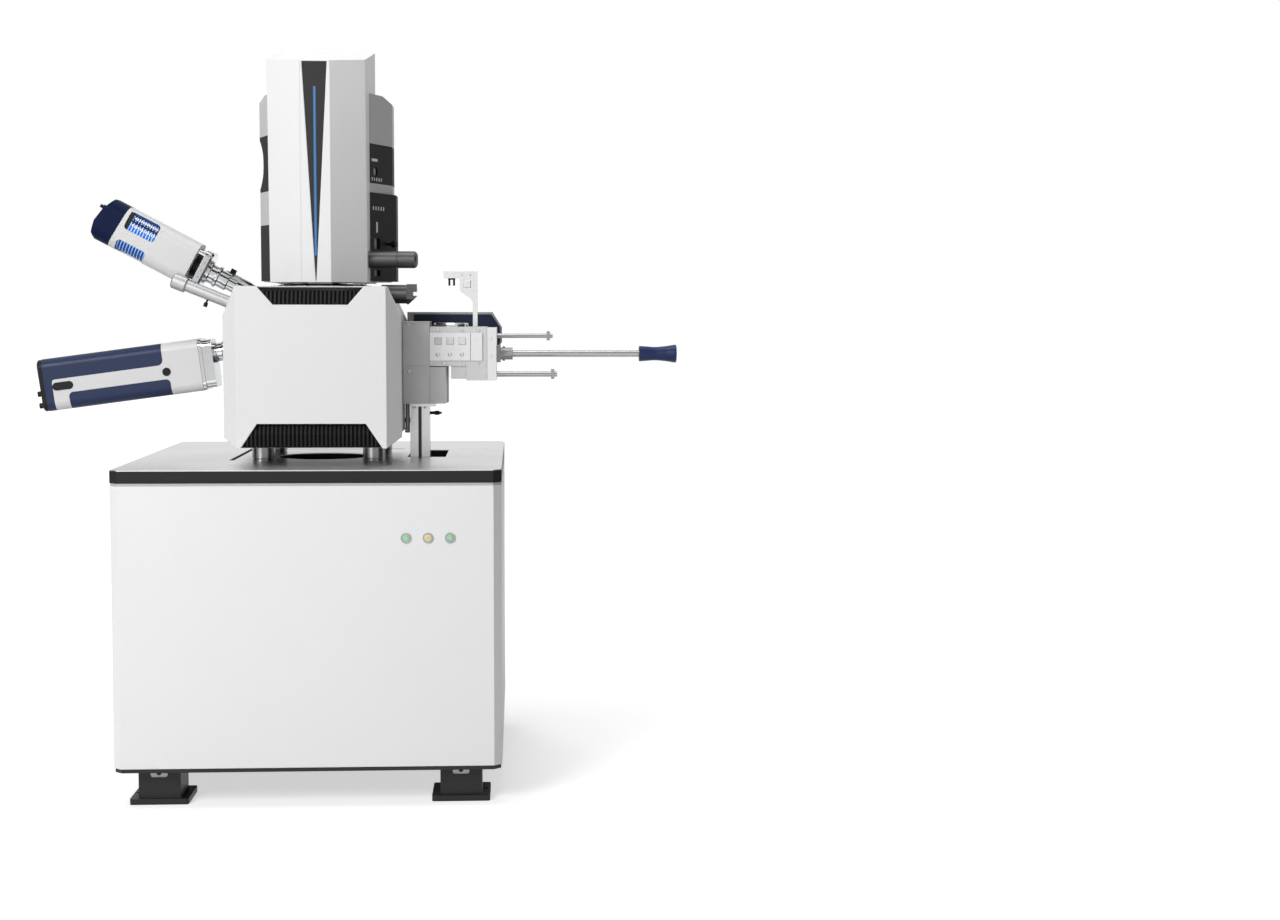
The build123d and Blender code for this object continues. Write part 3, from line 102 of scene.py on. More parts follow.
for name, place, watts, mirrored in (
    ("key_lamp", (-2.8, -5.5, 3.6), 318, True),
    ("top_lamp", (-0.3, -0.4, 5.2), 80, True),
    ("back_lamp", (-1.4, 5.4, 4.0), 120, False),
):
    lamp = bpy.data.objects.new(name, bpy.data.lights.new(name, "AREA"))
    lamp.data.shape = "DISK"
    lamp.data.size = LAMP_WIDTH
    lamp.data.energy = watts
    lamp.location = place
    lamp.rotation_euler = (AIM - Vector(place)).to_track_quat("-Z", "Y").to_euler()
    lamp.visible_glossy = mirrored
    scene.collection.objects.link(lamp)


# Flags: three black cloths on frames, out of sight at the sides and overhead. They cast no shade and show
# only as reflections, where they give the chrome its dark lines.
flag_cloth = bpy.data.materials.new("black_flag_cloth")
flag_cloth.use_nodes = True
cloth = flag_cloth.node_tree.nodes["Principled BSDF"].inputs
cloth["Base Color"].default_value = (0.01, 0.01, 0.01, 1.0)
cloth["Roughness"].default_value = 0.9
for name, corners in (
    ("right_flag", [(2.6, -2.4, 0.2), (2.6, 0.3, 0.2), (2.6, 0.3, 2.9), (2.6, -2.4, 2.9)]),
    ("left_flag", [(-3.0, -1.5, 0.2), (-3.0, 0.7, 0.2), (-3.0, 0.7, 2.9), (-3.0, -1.5, 2.9)]),
    ("overhead_flag", [(-2.0, -2.7, 3.3), (2.4, -2.7, 3.3), (2.4, -1.2, 3.3), (-2.0, -1.2, 3.3)]),
):
    mesh = bpy.data.meshes.new(name)
    mesh.from_pydata(corners, [], [(0, 1, 2, 3)])
    mesh.materials.append(flag_cloth)
    flag = bpy.data.objects.new(name, mesh)
    flag.visible_camera = flag.visible_diffuse = flag.visible_transmission = flag.visible_shadow = False
    scene.collection.objects.link(flag)


# Floor: one wide sheet of pale matt paper. To the eye it is lifted to the white of the room, fully so from
# three metres out, and round the feet it keeps the object's soft shadow.
FLOOR_HALF = 30.0
NEAR, FAR = 0.9, 2.8
NEAR_LIFT, FAR_LIFT = 0.60, 1.0
VALUE, FROM_LOW, FROM_HIGH, TO_LOW, TO_HIGH = range(5)  # the inputs of a map range


def linear(hexadecimal):
    """A hex colour as the linear colour that a shader takes."""
    parts = [int(hexadecimal[i:i + 2], 16) / 255 for i in (1, 3, 5)]
    return tuple(p / 12.92 if p <= 0.04045 else ((p + 0.055) / 1.055) ** 2.4 for p in parts) + (1.0,)


def surface(name, colour, roughness, metallic=0.0, **more):
    """A material with one shader. Returns it with its tree, its shader and the piece's own coordinates."""
    material = bpy.data.materials.new(name)
    material.use_nodes = True
    tree = material.node_tree
    tree.nodes.clear()
    inputs = {"Base Color": linear(colour), "Roughness": roughness, "Metallic": metallic}
    inputs.update({key.replace("_", " "): value for key, value in more.items()})
    shader = add(tree, "BsdfPrincipled", inputs)
    add(tree, "OutputMaterial", {"Surface": shader.outputs[0]})
    return material, tree, shader, add(tree, "TexCoord").outputs["Object"]


# Uncoated paper: pressed fibres leave a faint tooth and no shine.
paper, tree, shader, place = surface("matt_studio_paper", "#D2D2D2", 0.9, Specular_IOR_Level=0.1)
fibre = add(tree, "TexNoise", {"Vector": place, "Scale": 400.0, "Detail": 2.0})
tooth = add(tree, "Bump", {"Height": fibre.outputs[0], "Strength": 0.1, "Distance": 0.0002})
tree.links.new(tooth.outputs[0], shader.inputs["Normal"])
ray = add(tree, "LightPath").outputs
apart = add(tree, "VectorMath", {0: place}, operation="LENGTH")
rise = add(
    tree, "MapRange",
    {VALUE: apart.outputs["Value"], FROM_LOW: NEAR, FROM_HIGH: FAR, TO_LOW: NEAR_LIFT, TO_HIGH: FAR_LIFT},
    interpolation_type="SMOOTHSTEP",
)
lift = add(tree, "Emission", {"Color": WHITE, "Strength": rise.outputs[0]})
both = add(tree, "AddShader", {0: shader.outputs[0], 1: lift.outputs[0]})
seen = add(tree, "Math", {0: ray["Is Camera Ray"], 1: ray["Is Glossy Ray"]}, operation="MAXIMUM")
either = add(tree, "MixShader", {0: seen.outputs[0], 1: shader.outputs[0], 2: both.outputs[0]})
tree.links.new(either.outputs[0], tree.nodes["Material Output"].inputs["Surface"])
floor_corners = [(FLOOR_HALF * x, FLOOR_HALF * y, 0) for x, y in ((-1, -1), (1, -1), (1, 1), (-1, 1))]
floor_mesh = bpy.data.meshes.new("floor")
floor_mesh.from_pydata(floor_corners, [], [(0, 1, 2, 3)])
floor_mesh.materials.append(paper)
floor = bpy.data.objects.new("floor", floor_mesh)
scene.collection.objects.link(floor)


# Feet and frame: cast plates, posts and welded square tube under a black powder coat, sprayed dry and
# baked. The film is satin, with an orange peel a few millimetres across, and it rounds every edge.
FACTOR, DARK, LIGHT, MIXED = 0, 6, 7, 2  # the inputs and the output of a colour mix
MOST = {FROM_LOW: 0.3, FROM_HIGH: 0.7}  # the span that nearly all of a noise lies in


def shade(colour, factor):
    """A linear colour, made darker or lighter."""
    return tuple(min(1.0, part * factor) for part in colour[:3]) + (1.0,)


def coated(name, colour, roughness=0.45, edge_mm=1.5, cloud=0.03, gloss=0.5, peel=0.25, peel_mm=3.5):
    """A powder coat. The peel is drawn a little coarser than its real 2 mm, so that it shows."""
    material, tree, shader, place = surface(name, colour, roughness, Specular_IOR_Level=gloss)
    base = linear(colour)
    patch = add(tree, "TexNoise", {"Vector": place, "Scale": 4.0, "Detail": 4.0, "Roughness": 0.6})
    tone = add(
        tree, "Mix", {FACTOR: patch.outputs[0], DARK: shade(base, 1 - cloud), LIGHT: shade(base, 1 + cloud)},
        data_type="RGBA",
    )
    tree.links.new(tone.outputs[MIXED], shader.inputs["Base Color"])
    waves = add(tree, "TexNoise", {"Vector": place, "Scale": 1000 / peel_mm, "Detail": 2.0, "Roughness": 0.4})
    sheen = add(
        tree, "MapRange",
        {VALUE: waves.outputs[0], **MOST, TO_LOW: roughness - 0.05, TO_HIGH: roughness + 0.07},
    )
    tree.links.new(sheen.outputs[0], shader.inputs["Roughness"])
    edge = add(tree, "Bevel", {"Radius": edge_mm / 1000}, samples=4)
    film = add(
        tree, "Bump",
        {"Height": waves.outputs[0], "Normal": edge.outputs[0], "Strength": peel, "Distance": 0.0006},
    )
    tree.links.new(film.outputs[0], shader.inputs["Normal"])
    return material


def dress(node, material):
    """Gives a whole node one material."""
    nodes[node].data.materials.clear()
    nodes[node].data.materials.append(material)


# Dry-sprayed black: nearly as dark as the rubber, told from it by its satin highlights.
black_coat = coated("powder_coated_cast_iron_black", "#191919", roughness=0.42, gloss=0.35)
dress("feet", black_coat)


# Frame mounts and door seal: four air springs stand on the frame, and a black rubber ring closes the
# chamber. Both are moulded in a blasted tool, and are dull beside the painted steel.
MOUNT_FOOT = 0.69
MOUNT_WIDTH = 0.1


def solids(node):
    """Each solid of a node: its faces' numbers and the lowest and highest corners of its box."""
    mesh = nodes[node].data
    keys = [tuple(round(c * 1e5) for c in vertex.co) for vertex in mesh.vertices]
    lead = {}

    def find(key):
        lead.setdefault(key, key)
        while lead[key] != key:
            lead[key] = lead[lead[key]]
            key = lead[key]
        return key

    for face in mesh.polygons:
        first = find(keys[face.vertices[0]])
        for index in face.vertices[1:]:
            lead[find(keys[index])] = first
    groups = {}
    for face in mesh.polygons:
        groups.setdefault(find(keys[face.vertices[0]]), []).append(face.index)
    found = []
    for faces in groups.values():
        points = [mesh.vertices[i].co for f in faces for i in mesh.polygons[f].vertices]
        low = Vector([min(p[k] for p in points) for k in range(3)])
        high = Vector([max(p[k] for p in points) for k in range(3)])
        found.append((faces, low, high))
    return found


def dress_solids(node, materials, choose):
    """Gives each solid of a node one of several materials; choose returns its number from the solid's box."""
    mesh = nodes[node].data
    mesh.materials.clear()
    for material in materials:
        mesh.materials.append(material)
    for faces, low, high in solids(node):
        number = choose(low, high)
        for face in faces:
            mesh.polygons[face].material_index = number


def moulded(name, colour, roughness=0.5, grain_mm=1.2, depth=0.0003, gloss=0.25):
    """A moulded face with an even spark-eroded grain, which is drawn at about twice its real size."""
    material, tree, shader, place = surface(name, colour, roughness, Specular_IOR_Level=gloss)
    base = linear(colour)
    scale = 1000 / grain_mm
    grain = add(tree, "TexNoise", {"Vector": place, "Scale": scale, "Detail": 3.0, "Roughness": 0.55})
    tone = add(
        tree, "Mix", {FACTOR: grain.outputs[0], DARK: shade(base, 0.86), LIGHT: shade(base, 1.12)},
        data_type="RGBA",
    )
    tree.links.new(tone.outputs[MIXED], shader.inputs["Base Color"])
    sheen = add(
        tree, "MapRange",
        {VALUE: grain.outputs[0], **MOST, TO_LOW: roughness - 0.08, TO_HIGH: roughness + 0.08},
    )
    tree.links.new(sheen.outputs[0], shader.inputs["Roughness"])
    edge = add(tree, "Bevel", {"Radius": 0.0006}, samples=4)
    skin = add(
        tree, "Bump",
        {"Height": grain.outputs[0], "Normal": edge.outputs[0], "Strength": 0.4, "Distance": depth},
    )
    tree.links.new(skin.outputs[0], shader.inputs["Normal"])
    return material


# Moulded rubber: flat black with hardly a highlight.
bellows = moulded("moulded_rubber_black", "#1A1A1A", roughness=0.62, grain_mm=1.6)
dress_solids(
    "base_frame", [black_coat, bellows],
    lambda low, high: int(low.z > MOUNT_FOOT and high.x - low.x < MOUNT_WIDTH),
)
dress("door_gasket", bellows)


# Outer panels: sheet steel folded round the corners, under a white powder coat, hung on the frame. The grey
# trim is a narrow folded strip in the gap between the panels and the table.

# Sprayed white: even and satin, with only a breath of cloud over a whole panel.
white_coat = coated("powder_coated_sheet_steel_white", "#EAEAEA", roughness=0.46, cloud=0.015)
for name in ("front_panel", "side_panels", "back_panel"):
    dress(name, white_coat)
# Sprayed grey: a shade line that sets the table off from the console.
dress("trim_strip", coated("powder_coated_sheet_steel_grey", "#B8B8B8", roughness=0.4, cloud=0.02))


# Cable ports: flush rubber membranes close the row of round holes low in the back panel. Each is moulded
# in one piece, with a lip behind the sheet, a groove round its rim and two raised rings to cut it open by.
PORT_X = (-0.15, -0.05, 0.05, 0.15)
PORT_Z = 0.2
MEMBRANE = (
    (26.5, -6.0), (26.5, -3.3), (23.7, -3.3), (23.7, -0.6), (23.2, -0.2), (21.2, -0.2), (20.8, -0.6),
    (20.8, -1.8), (14.6, -1.8), (14.2, -1.0), (13.4, -1.0), (13.0, -1.8), (6.6, -1.8), (6.2, -1.0),
    (5.4, -1.0), (5.0, -1.8), (0.4, -1.8),
)


def turned(shape, place, profile, sides=40):
    """A turned or moulded round form about its own z, from a profile of radii and heights in millimetres."""
    around = [2 * math.pi * k / sides for k in range(sides)]
    rings = []
    for radius, height in profile:
        ring = [(radius * math.cos(a) / 1000, radius * math.sin(a) / 1000, height / 1000) for a in around]
        rings.append([shape.verts.new(place @ Vector(point)) for point in ring])
    for lower, upper in zip(rings, rings[1:]):
        for k in range(sides):
            after = (k + 1) % sides
            shape.faces.new((lower[k], lower[after], upper[after], upper[k])).smooth = True
    shape.faces.new(list(reversed(rings[0])))
    shape.faces.new(rings[-1])


panel_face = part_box("back_panel")[1].y
out_of_panel = Matrix.Rotation(math.radians(-90), 4, "X")
membranes = bmesh.new()
for x in PORT_X:
    turned(membranes, Matrix.Translation((x, panel_face, PORT_Z)) @ out_of_panel, MEMBRANE)
mesh = bpy.data.meshes.new("port_membranes")
membranes.to_mesh(mesh)
membranes.free()
mesh.set_sharp_from_angle(angle=math.radians(35))
mesh.materials.append(bellows)
ports = bpy.data.objects.new("port_membranes", mesh)
scene.collection.objects.link(ports)
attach(ports, "console")


# Push buttons: each is a moulded acrylic cap in a turned stainless bezel, pressed into the front panel. The
# cap is pale in the middle, and its rim glows in the colour of its lamp.
def polished(name, colour, roughness=0.12, wipe_mm=24.0, edge_mm=0.5):
    """A polished or plated metal: mirror-like, with faint wiping marks and cloudy patches in its gloss."""
    material, tree, shader, place = surface(name, colour, roughness, metallic=1.0)
    wipe = add(tree, "TexNoise", {"Vector": place, "Scale": 1000 / wipe_mm, "Detail": 6.0, "Distortion": 1.2})
    sheen = add(
        tree, "MapRange",
        {
            VALUE: wipe.outputs[0], FROM_LOW: 0.3, FROM_HIGH: 0.75,
            TO_LOW: max(0.03, roughness - 0.05), TO_HIGH: roughness + 0.10,
        },
    )
    tree.links.new(sheen.outputs[0], shader.inputs["Roughness"])
    edge = add(tree, "Bevel", {"Radius": edge_mm / 1000}, samples=4)
    mark = add(
        tree, "Bump",
        {"Height": wipe.outputs[0], "Normal": edge.outputs[0], "Strength": 0.06, "Distance": 0.0004},
    )
    tree.links.new(mark.outputs[0], shader.inputs["Normal"])
    return material


def lit_cap(name, glow, middle, centre, radius):
    """An acrylic cap, pale in the middle and glowing at its rim, by the distance from its centre line."""
    material, tree, shader, place = surface(name, middle, 0.28, IOR=1.49)
    apart = add(tree, "VectorMath", {0: place, 1: centre}, operation="SUBTRACT")
    flat = add(tree, "VectorMath", {0: apart.outputs[0], 1: (1.0, 0.0, 1.0)}, operation="MULTIPLY")
    distance = add(tree, "VectorMath", {0: flat.outputs[0]}, operation="LENGTH")
    rim = add(
        tree, "MapRange",
        {
            VALUE: distance.outputs["Value"], FROM_LOW: radius * 0.30, FROM_HIGH: radius * 0.50,
            TO_LOW: 0.0, TO_HIGH: 1.0,
        },
    )
    moulding = add(tree, "TexNoise", {"Vector": place, "Scale": 900.0, "Detail": 2.0})
    colour = add(
        tree, "Mix", {FACTOR: rim.outputs[0], DARK: linear(middle), LIGHT: linear(glow)}, data_type="RGBA",
    )
    tree.links.new(colour.outputs[MIXED], shader.inputs["Base Color"])
    tree.links.new(colour.outputs[MIXED], shader.inputs["Emission Color"])
    shader.inputs["Emission Strength"].default_value = 0.05
    ripple = add(tree, "Bump", {"Height": moulding.outputs[0], "Strength": 0.12, "Distance": 0.0003})
    tree.links.new(ripple.outputs[0], shader.inputs["Normal"])
    return material


# Turned stainless steel: bright and a little yellow-grey, blurred by the tool's fine lines.
stainless = polished("turned_stainless_steel", "#C9C9CB", roughness=0.2)
# The bezels' steel is turned dull, which draws a grey ring round each cap.
dress("button_bezels", polished("turned_stainless_steel_bezel", "#9A9A9C", roughness=0.28))
# Moulded acrylic: smooth and softly lit from within.
for name, glow, middle in (
    ("operate_button", "#8CCB99", "#C3BCC1"),
    ("standby_button", "#DFD091", "#BFBFC2"),
    ("vent_button", "#8CCB99", "#C3BCC1"),
):
    low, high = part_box(name)
    radius = (high.x - low.x) / 2
    dress(name, lit_cap("moulded_acrylic_" + name, glow, middle, tuple((low + high) / 2), radius))


# Table: a thick board of pressed black laminate under a sheet of stainless steel, ground with a belt from
# side to side. Both stand on the frame's air springs, and the board shows as a black edge all round.

# Pressed board: black, with hardly visible layers of paper along its sawn edge.
board, tree, shader, place = surface("pressed_phenolic_board_black", "#1C1C1C", 0.45, Specular_IOR_Level=0.2)
layers = add(tree, "Mapping", {"Vector": place, "Scale": (3.0, 3.0, 900.0)})
paper_layer = add(tree, "TexNoise", {"Vector": layers.outputs[0], "Scale": 1.0, "Detail": 3.0})
tone = add(
    tree, "Mix", {FACTOR: paper_layer.outputs[0], DARK: linear("#151515"), LIGHT: linear("#222222")},
    data_type="RGBA",
)
tree.links.new(tone.outputs[MIXED], shader.inputs["Base Color"])
edge = add(tree, "Bevel", {"Radius": 0.0015}, samples=4)
step = add(
    tree, "Bump",
    {"Height": paper_layer.outputs[0], "Normal": edge.outputs[0], "Strength": 0.2, "Distance": 0.0004},
)
tree.links.new(step.outputs[0], shader.inputs["Normal"])
dress("table_core", board)

ALONG_X, ALONG_Y, ALONG_Z = (1.0, 0.0, 0.0), (0.0, 1.0, 0.0), (0.0, 0.0, 1.0)


def ground(name, colour, roughness, along=ALONG_X, line_mm=0.9, depth=0.00012):
    """Belt-ground metal. Its lines are drawn about 1 mm apart, coarser than the real grit of 0.1 mm."""
    material, tree, shader, place = surface(name, colour, roughness, metallic=1.0)
    across, lengthways = 1000 / line_mm, 3.0
    scale = tuple(across + (lengthways - across) * a for a in along)
    stretch = add(tree, "Mapping", {"Vector": place, "Scale": scale}).outputs[0]
    lines = add(tree, "TexNoise", {"Vector": stretch, "Scale": 1.0, "Detail": 4.0, "Roughness": 0.6})
    patch = add(tree, "TexNoise", {"Vector": place, "Scale": 5.0, "Detail": 3.0})
    base = linear(colour)
    tone = add(
        tree, "Mix", {FACTOR: lines.outputs[0], DARK: shade(base, 0.93), LIGHT: shade(base, 1.05)},
        data_type="RGBA",
    )
    tree.links.new(tone.outputs[MIXED], shader.inputs["Base Color"])
    sheen = add(
        tree, "MapRange",
        {VALUE: patch.outputs[0], **MOST, TO_LOW: roughness - 0.04, TO_HIGH: roughness + 0.04},
    )
    tree.links.new(sheen.outputs[0], shader.inputs["Roughness"])
    edge = add(tree, "Bevel", {"Radius": 0.0006}, samples=4)
    cut = add(
        tree, "Bump",
        {"Height": lines.outputs[0], "Normal": edge.outputs[0], "Strength": 0.25, "Distance": depth},
    )
    tree.links.new(cut.outputs[0], shader.inputs["Normal"])
    return material


# Belt-ground steel: long fine lines from side to side, and soft, drawn-out reflections.
dress("table_skin", ground("belt_ground_stainless_steel", "#CCCCCC", 0.32))


# Pillars: four turned steel columns, ground round between centres and screwed down on the table. The
# chamber stands on them, 45 mm above the sheet.

# Round-ground steel: silky grey, with lines that run up the bar.
dress("pillars", ground("ground_stainless_steel_round_bar", "#88888A", 0.24, along=ALONG_Z))


# Chamber: thick steel plates welded together, milled, blasted with glass beads and nickel plated, with its
# objective lens let into the roof and the turbo pump bolted to its back wall.
def blasted(name, colour, roughness=0.42, edge_mm=0.8):
    """A bead-blasted metal. Its dimples are drawn at 1.4 mm, coarser than the real 0.2 mm beads leave."""
    material, tree, shader, place = surface(name, colour, roughness, metallic=1.0)
    base = linear(colour)
    dimple = add(tree, "TexNoise", {"Vector": place, "Scale": 1000 / 1.4, "Detail": 3.0, "Roughness": 0.6})
    patch = add(tree, "TexNoise", {"Vector": place, "Scale": 9.0, "Detail": 4.0})
    mixed = add(tree, "Mix", {0: 0.35, 2: patch.outputs[0], 3: dimple.outputs[0]}, data_type="FLOAT")
    tone = add(
        tree, "Mix", {FACTOR: mixed.outputs[0], DARK: shade(base, 0.90), LIGHT: shade(base, 1.08)},
        data_type="RGBA",
    )
    tree.links.new(tone.outputs[MIXED], shader.inputs["Base Color"])
    sheen = add(
        tree, "MapRange",
        {VALUE: dimple.outputs[0], **MOST, TO_LOW: roughness - 0.05, TO_HIGH: roughness + 0.05},
    )
    tree.links.new(sheen.outputs[0], shader.inputs["Roughness"])
    edge = add(tree, "Bevel", {"Radius": edge_mm / 1000}, samples=4)
    pits = add(
        tree, "Bump",
        {"Height": dimple.outputs[0], "Normal": edge.outputs[0], "Strength": 0.3, "Distance": 0.0002},
    )
    tree.links.new(pits.outputs[0], shader.inputs["Normal"])
    return material


# Blasted and plated steel: a quiet mid grey that scatters every reflection.
nickel = blasted("bead_blasted_nickel_plated_steel", "#8E8E8E", roughness=0.48)
dress("chamber_body", nickel)
# Blasted stainless steel: lighter than the chamber and a little brighter in its highlights.
dress("turbo_pump", blasted("bead_blasted_stainless_steel", "#A9A9AB", roughness=0.4))
dress("objective_lens", stainless)


# Door: a machined aluminium plate that closes the chamber's open front and carries the stage. It runs out
# on two chromed guide rods, which are the only narrow solids among its own.
ROD_WIDTH = 0.05
# Blasted and clear-anodised aluminium: pale grey, dry and even.
aluminium = blasted("bead_blasted_anodised_aluminium", "#B0B0B0", roughness=0.44, edge_mm=1.0)
# Hard chrome: a near mirror with a cold tint, white room between dark lines.
chrome = polished("hard_chromed_steel", "#C0C1C3", roughness=0.10)
dress_solids("door_plate", [aluminium, chrome], lambda low, high: int(high.x - low.x < ROD_WIDTH))


# Door cover: a white eight-sided hood, vacuum-formed from thick sheet and painted, clipped over the door
# plate. Two ribbed vents, moulded in black plastic, fill the slants above and below.
RIB_PITCH_MM = 10.0
HALF_GROOVE_MM = 2.6
VENT_END = 0.17
# Paint on a formed sheet: satin white with wide soft edges.
door_paint = coated("painted_formed_cover_white", "#E1E1E1", roughness=0.40, edge_mm=3.0, cloud=0.012)
dress("door_cover", door_paint)
# Grained plastic: black with a faint satin sheen on the crowns of the ribs.
vent_plastic = moulded("moulded_abs_black", "#121212", roughness=0.5, gloss=0.18)
# The same plastic in the grooves, painted darker and duller there as painted shade.
vent_shade = moulded("moulded_abs_black_painted_groove_shade", "#060606", roughness=0.7, gloss=0.1)


def dress_faces(node, materials, choose):
    """Gives each face of a node one of several materials; choose returns its number from its centre."""
    mesh = nodes[node].data
    mesh.materials.clear()
    for material in materials:
        mesh.materials.append(material)
    for face in mesh.polygons:
        face.material_index = choose(face.center, face.normal)


def in_groove(at, normal):
    """Whether a face of the vents is the flank or the floor of a groove between two ribs."""
    across = (at.x * 1000) % RIB_PITCH_MM
    flank = abs(normal.x) > 0.7 and abs(at.x) < VENT_END
    bottom = normal.y < -0.5 and not HALF_GROOVE_MM <= across <= RIB_PITCH_MM - HALF_GROOVE_MM
    return int(flank or bottom)


# The grooves' flanks and floors take the painted shade.
dress_faces("door_vents", [vent_plastic, vent_shade], in_groove)


# Specimen stage: aluminium slides, milled all over and clear anodised, stacked on the door's base. The
# cradle and the turntable on top are turned from stainless steel, as is the gate plate of the load lock.

# Milled aluminium: bright grey with cutter lines from front to back.
milled = ground("milled_anodised_aluminium", "#C4C4C6", 0.34, along=ALONG_Y, line_mm=1.2)
for name in ("stage_base", "stage_y", "stage_x", "stage_z"):
    dress(name, milled)
for name in ("stage_tilt", "stage_turntable", "gate_plate"):
    dress(name, stainless)


# Column: a stack of turned steel lenses with the gun on top and two pumps behind, screwed down inside its
# cover. It stands in a chromed collar on the chamber roof, which shows as a bright line under the cover.
dress("electron_column", stainless)
dress("column_collar", chrome)


# Column cover: aluminium sheet bent to six sides and closed by a slanting roof, and its two side housings.
# All are powder coated and screwed to the chamber roof.

# Paint on bent sheet: the same satin white as the door, a shade lighter.
hood_paint = coated("painted_formed_hood_white", "#E8E8E8", roughness=0.40, edge_mm=3.0, cloud=0.012)
dress("column_cover", hood_paint)
# Sprayed pale grey: sets the side housings back behind the white front.
dress("side_covers", coated("powder_coated_aluminium_pale_grey", "#BEBEBE", roughness=0.45, cloud=0.02))


# Service panels: dark moulded plates let into the side housings, and the long dark wedge of sheet in the
# cover's front facet. The wedge is the only narrow one, and it lies at the front.
WEDGE_WIDTH = 0.08
WEDGE_Y = -0.2
# Satin lacquer: a soft charcoal that is told from black only beside it.
wedge_paint = coated("satin_lacquered_aluminium_charcoal", "#282828", roughness=0.38, edge_mm=0.4, gloss=0.2)
# Grained plastic: black and almost without shine, so that the panels read as openings.
panel_plastic = moulded("moulded_abs_panel_black", "#141414", roughness=0.6, gloss=0.1)
dress_solids(
    "service_panels", [panel_plastic, wedge_paint],
    lambda low, high: int(high.x - low.x < WEDGE_WIDTH and low.y < WEDGE_Y),
)


# Connector rows: white moulded sockets in the slots of the two right-hand panels, five to a row, with one
# long plug above or below. Each sits just under the panel's face, on the slanted front facet.
UPPER_FACET = (0.122, -0.0640, math.atan2(132.0, 50.0))  # where it starts, and its turn
LOWER_FACET = (0.122, -0.0676, math.atan2(135.6, 59.0))


def bars(name, body, material, place, boxes, round_mm=0.3):
    """Small moulded or milled bars in one piece, each given by two corners in millimetres in its own axes."""
    shape = bmesh.new()
    for low, high in boxes:
        made = bmesh.ops.create_cube(shape, size=1.0)["verts"]
        size = [(b - a) / 1000 for a, b in zip(low, high)]
        middle = [(a + b) / 2000 for a, b in zip(low, high)]
        fitted = Matrix.Translation(middle) @ Matrix.Diagonal((*size, 1.0))
        bmesh.ops.transform(shape, matrix=fitted, verts=made)
    bmesh.ops.bevel(
        shape, geom=shape.edges[:], offset=round_mm / 1000, segments=2, affect="EDGES", profile=0.5,
    )
    mesh = bpy.data.meshes.new(name)
    shape.to_mesh(mesh)
    shape.free()
    mesh.transform(place)
    mesh.materials.append(material)
    piece = bpy.data.objects.new(name, mesh)
    scene.collection.objects.link(piece)
    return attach(piece, body)


def along_facet(x, y, turn):
    """The axes of a slanted facet: x runs back along it, y looks into it, z is up."""
    return Matrix.Translation((x, y, 0.0)) @ Matrix.Rotation(turn, 4, "Z")


def connector_row(start, pitch, width, depth, low, high):
    """Five like sockets side by side, in millimetres along a facet."""
    return [((start + pitch * k, 0.4, low), (start + width + pitch * k, depth, high)) for k in range(5)]


# Moulded polyester: clean white with a fine grain, the brightest thing in the dark panels.
contact = moulded("moulded_pbt_white", "#F2F2F2", roughness=0.4, grain_mm=1.0, depth=0.0001)
upper_ends = bars(
    "upper_connectors", "console", contact, along_facet(*UPPER_FACET),
    connector_row(13.2, 13.9, 6.7, 4.5, 1512.5, 1521.5) + [((13.2, 0.4, 1562.4), (50.8, 4.0, 1569.6))],
)
lower_ends = bars(
    "lower_connectors", "console", contact, along_facet(*LOWER_FACET),
    connector_row(17.4, 14.2, 6.9, 4.5, 1437.5, 1447.5) + [((35.0, 0.4, 1380.4), (45.0, 4.0, 1407.6))],
)


# Light strip: a slim bar of frosted blue acrylic, lit from behind and pushed into the wedge. It shows
# lighter along its middle, where the lamps sit, and deeper at its edges.
STRIP_GLOW = 0.12
low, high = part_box("light_strip")
strip, tree, shader, place = surface("frosted_acrylic_light_strip", "#3E78AF", 0.35, IOR=1.49)
split = add(tree, "SeparateXYZ", {0: place})
away = add(tree, "Math", {0: split.outputs[0]}, operation="ABSOLUTE")
middle = add(
    tree, "MapRange",
    {VALUE: away.outputs[0], FROM_LOW: 0.0, FROM_HIGH: (high.x - low.x) / 2, TO_LOW: 0.0, TO_HIGH: 1.0},
)
frost = add(tree, "TexNoise", {"Vector": place, "Scale": 500.0, "Detail": 2.0})
colour = add(
    tree, "Mix", {FACTOR: middle.outputs[0], DARK: linear("#3C78B0"), LIGHT: linear("#1C4B7C")},
    data_type="RGBA",
)
tree.links.new(colour.outputs[MIXED], shader.inputs["Base Color"])
tree.links.new(colour.outputs[MIXED], shader.inputs["Emission Color"])
shader.inputs["Emission Strength"].default_value = STRIP_GLOW
frosting = add(tree, "Bump", {"Height": frost.outputs[0], "Strength": 0.2, "Distance": 0.0002})
tree.links.new(frosting.outputs[0], shader.inputs["Normal"])
dress("light_strip", strip)


# Barrels: the round drive of the apertures at the cover's right side, and the electron detector with its
# notched cap on the chamber's shoulder. Both are turned from brass.

# Blasted and plated brass: painted a dark neutral grey as painted shade, with broad soft highlights.
dress("column_barrels", blasted("bead_blasted_nickel_plated_brass_painted_shade", "#565656", roughness=0.42))


# Upper detector: a shell of bent sheet with two windows and a cast cap, held to the chamber by a turned
# neck. Behind its windows sit light blue cooling fins and two combs of white contacts.

# Sprayed white on a bent shell, painted greyer as painted shade; smoother than the panels, seen from close
# by.
shaded_shell_coat = coated("powder_coated_aluminium_white_painted_shade", "#D0D0D0", roughness=0.42, cloud=0.005, peel=0.04)
# Sprayed deep navy: nearly black where it turns away from the light.
deep_navy_coat = coated(
    "powder_coated_aluminium_deep_navy", "#0E1A3A", roughness=0.48, cloud=0.04, gloss=0.06, peel=0.12,
)
dress("upper_detector_shell", shaded_shell_coat)
dress("upper_detector_cap", deep_navy_coat)
# Anodised fins: light blue metal with a faint painted glow in lighter blue, which lifts them out of their
# shade.
fins = ground("anodised_aluminium_fins_blue_painted_glow", "#86A8DC", 0.36, along=ALONG_Y)
fin_shader = fins.node_tree.nodes["Principled BSDF"]
fin_shader.inputs["Emission Color"].default_value = linear("#6F9CE6")
fin_shader.inputs["Emission Strength"].default_value = 0.10
dress("upper_detector_fins", fins)


